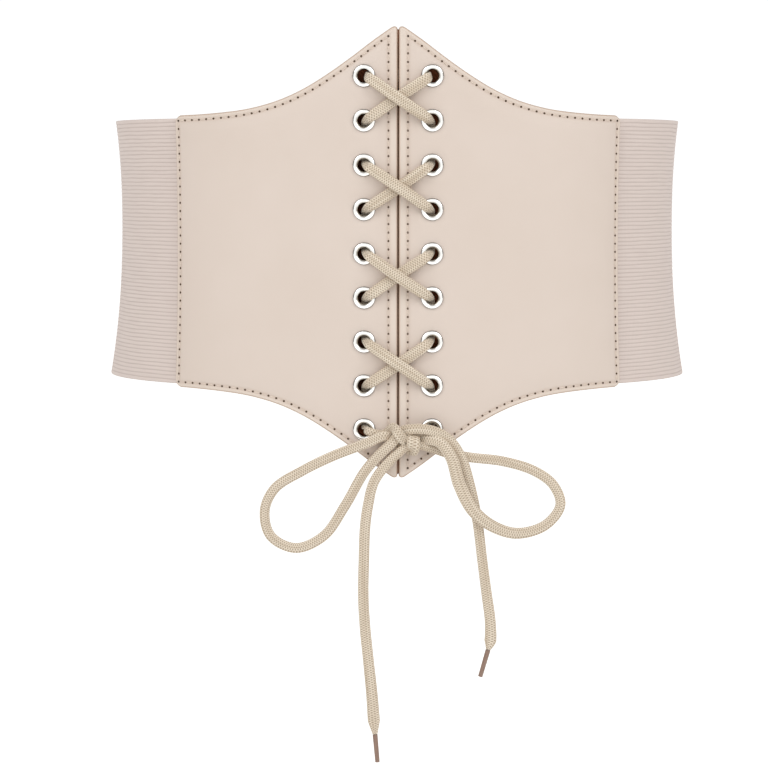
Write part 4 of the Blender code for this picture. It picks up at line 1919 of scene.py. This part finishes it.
# The left strand: wrap one of the knot, the right loop and the left tail
LEFT_ROUTE = (
    (-13.9, -2.0, -77.9), (-13.6, 0.2, -78.0), (-12.7, 1.8, -78.3), (-11.0, 2.5, -78.8),
    (-8.4, 2.2, -79.4), (-5.6, 1.7, -79.2), (-3.7, 2.4, -77.7), (-2.2, 4.6, -76.3),
    (-1.0, 7.3, -76.9), (0.6, 8.3, -79.1), (2.3, 7.0, -81.2), (4.1, 4.2, -82.3),
    (6.4, 2.0, -82.6), (9.4, 2.2, -82.0), (13.2, 4.4, -81.4), (18.5, 6.1, -82.7),
    (23.4, 7.5, -89.2), (27.0, 8.4, -101.0), (33.0, 8.8, -112.3), (41.5, 7.6, -119.4),
    (52.6, 6.0, -122.9), (65.0, 5.0, -119.4), (71.6, 4.5, -110.6), (68.5, 4.0, -101.7),
    (60.0, 3.2, -95.5), (46.5, 2.4, -91.4), (32.3, 2.0, -89.7), (23.0, 1.9, -88.1),
    (15.0, 2.7, -85.6), (10.2, 4.1, -84.2), (6.4, 4.7, -83.6), (3.4, 5.0, -84.7),
    (0.2, 5.2, -87.2), (-3.8, 5.2, -91.0), (-10.5, 5.0, -100.0), (-13.3, 4.5, -111.0),
    (-14.6, 4.2, -121.0), (-15.1, 4.0, -135.5), (-15.4, 4.0, -150.5), (-14.6, 4.0, -165.5),
    (-13.1, 4.0, -180.5), (-11.6, 4.0, -195.5), (-10.7, 4.0, -207.5), (-10.2, 4.0, -213.5),
)
LEFT_STATIONS = (
    (0, 3.4, 2.3), (3, 3.6, 2.3), (6, 4.3, 1.7), (10, 4.4, 1.6), (12, 4.1, 2.2), (15, 4.8, 2.5),
    (17, 5.6, 2.4), (18, 5.5, 2.5), (21, 4.4, 3.0), (27, 4.2, 2.6), (29, 3.6, 2.3), (30, 3.5, 2.3),
    (32, 4.1, 2.4), (35, 4.5, 2.9), (40, 4.7, 2.8), (42, 5.3, 2.4), (43, 2.2, 2.1),
)

# The right strand: wrap two of the knot, the left loop and the right tail
RIGHT_ROUTE = (
    (14.8, -2.0, -77.6), (14.5, 0.4, -77.6), (13.5, 2.2, -77.7), (11.6, 2.9, -77.8),
    (9.3, 2.8, -78.0), (7.8, 3.3, -78.7), (6.9, 4.7, -79.8), (6.7, 6.4, -81.0),
    (6.7, 7.4, -82.6), (6.6, 7.2, -84.4), (6.3, 5.5, -85.9), (5.4, 3.0, -85.9),
    (3.4, 1.7, -85.3), (1.0, 1.7, -84.1), (-1.4, 2.0, -82.2), (-3.9, 3.8, -80.5),
    (-6.8, 5.2, -80.0), (-13.3, 5.4, -82.7), (-28.3, 5.2, -88.5), (-42.0, 5.0, -95.2),
    (-54.4, 5.0, -103.2), (-58.8, 5.0, -113.0), (-56.2, 5.0, -124.2), (-45.2, 5.0, -129.6),
    (-32.8, 5.0, -124.2), (-23.4, 5.0, -110.8), (-15.0, 5.0, -96.1), (-9.0, 5.5, -88.8),
    (-5.0, 6.2, -84.9), (-2.4, 6.2, -82.4), (0.0, 5.5, -79.6), (2.6, 5.4, -77.4),
    (6.1, 6.3, -76.6), (10.1, 6.1, -76.6), (14.9, 5.6, -77.4), (19.8, 5.0, -79.5),
    (24.0, 4.4, -83.2), (28.2, 4.2, -90.2), (31.6, 4.2, -101.4), (35.0, 4.2, -117.5),
    (37.3, 4.2, -135.5), (39.3, 4.0, -150.5), (40.9, 4.0, -162.5), (41.0, 4.0, -171.5),
    (40.1, 4.0, -175.2),
)
RIGHT_STATIONS = (
    (0, 3.6, 2.3), (4, 4.2, 2.0), (6, 5.6, 1.6), (10, 5.8, 1.6), (13, 4.2, 1.9), (16, 4.4, 2.6),
    (21, 4.3, 3.1), (27, 4.4, 2.8), (31, 4.4, 2.4), (35, 4.4, 2.7), (40, 4.4, 2.9), (42, 4.7, 2.8),
    (43, 5.2, 2.4), (44, 2.2, 2.1),
)


@dataclass(frozen=True)
class Studio:
    """The camera at the photo's angle, soft lights and a pale floor, in metres, degrees and watts."""

    camera_place: tuple[float, float, float] = (-0.0062, -1.095, 0.0347)
    camera_tilt: float = 5.28
    lens: float = 106.27
    floor_height: float = -0.62
    floor_size: float = 30.0
    light_size: float = 1.3
    # Each soft light's name, place and power
    lights: tuple[tuple[str, tuple[float, float, float], float], ...] = (
        ("key_softbox", (-1.15, -1.35, 1.25), 15.2),
        ("fill_softbox", (1.25, -1.3, 1.05), 13.2),
    )
    surround: float = 0.62
    surround_colour: tuple[float, float, float, float] = (1.0, 0.995, 0.985, 1.0)
    backdrop: float = 1.05
    # What metal mirrors, by how far a ray points to the front or back: dark to the sides, bright ahead
    mirrored: ClassVar[dict] = {"From Min": 0.25, "From Max": 0.6, "To Min": 0.12, "To Max": 1.15}

    def build(self) -> None:
        """Set up the studio."""
        self.place_camera()
        self.lay_floor()
        for name, place, power in self.lights:
            self.hang_light(name, place, power)
        self.light_surround()
        bpy.context.scene.view_settings.view_transform = "Standard"

    def place_camera(self) -> None:
        """Stand the camera in front of the belt and make it the scene's own."""
        turn = (math.radians(90 - self.camera_tilt), 0.0, 0.0)
        bpy.ops.object.camera_add(location=self.camera_place, rotation=turn)
        camera = bpy.context.object
        camera.name = "photo_camera"
        camera.data.lens = self.lens
        camera.data.sensor_width = 36.0
        camera.data.clip_end = 60.0
        bpy.context.scene.camera = camera

    def lay_floor(self) -> None:
        """Lay the pale floor well under the belt, which hangs as on a waist."""
        bpy.ops.object.select_all(action="DESELECT")
        bpy.ops.mesh.primitive_plane_add(size=self.floor_size, location=(0.0, 0.0, self.floor_height))
        floor = bpy.context.object
        floor.name = "studio_floor"
        floor.data.materials.append(BOARD.material)

    def hang_light(self, name: str, place: tuple[float, float, float], power: float) -> None:
        """Hang a large soft light that looks at the belt.

        Args:
            name: The light's name.
            place: Where it hangs.
            power: Its power.
        """
        aim = (-Vector(place)).to_track_quat("-Z", "Y").to_euler()
        bpy.ops.object.light_add(type="AREA", location=place, rotation=aim)
        light = bpy.context.object
        light.name = name
        light.data.shape = "SQUARE"
        light.data.size = self.light_size
        light.data.energy = power

    def light_surround(self) -> None:
        """Fill the room with an even pale light, whiter where the camera looks past the belt.

        Polished metal mirrors a darker room to the sides, above and below, as it does in a real studio.
        """
        world = bpy.data.worlds.new("pale_studio")
        bpy.context.scene.world = world
        world.use_nodes = True
        tree = world.node_tree
        rays = add_node(tree, "LightPath").node.outputs
        way = add_node(tree, "SeparateXYZ", links={0: add_node(tree, "TexCoord").node.outputs["Generated"]})
        depth = add_node(tree, "Math", {"operation": "ABSOLUTE"}, {0: way.node.outputs["Y"]})
        mirrored = add_node(tree, "MapRange", self.mirrored, {"Value": depth})
        asked = {"Value": rays["Is Glossy Ray"], "To Max": mirrored}
        strength = add_node(tree, "MapRange", {"To Min": self.surround}, asked)
        lit = tree.nodes["Background"]
        lit.inputs["Color"].default_value = self.surround_colour
        tree.links.new(strength, lit.inputs["Strength"])
        white = {"Color": (1.0, 1.0, 1.0, 1.0), "Strength": self.backdrop}
        seen = {0: rays["Is Camera Ray"], 1: lit.outputs[0], 2: add_node(tree, "Background", white)}
        tree.links.new(add_node(tree, "MixShader", links=seen), tree.nodes["World Output"].inputs["Surface"])


def main() -> None:
    """Build the belt's looks in order and note the size of the result."""
    Studio().build()
    FreeLace(Side.LEFT, LEFT_ROUTE, LEFT_STATIONS, length=344.0).build()
    FreeLace(Side.RIGHT, RIGHT_ROUTE, RIGHT_STATIONS, length=324.0).build()
    HeldLacing().build()
    EYELETS.build()
    panels = {}
    for side in Side:
        piece = LeatherPiece(panel_pattern(side), side, f"front_panel_{side.label}", PANEL_ZONES)
        panels[side] = piece.build()
    closure = LeatherPiece(closure_pattern(), Side.RIGHT, "back_closure", CLOSURE_ZONES).build()
    for side in Side:
        band = ElasticBand(side)
        band.declare(band.build())
    ModestyStrip().build(panels[Side.LEFT], panel_pattern(Side.LEFT))


if __name__ == "__main__":
    logging.basicConfig(level=logging.INFO, format="%(name)s %(message)s")
    main()
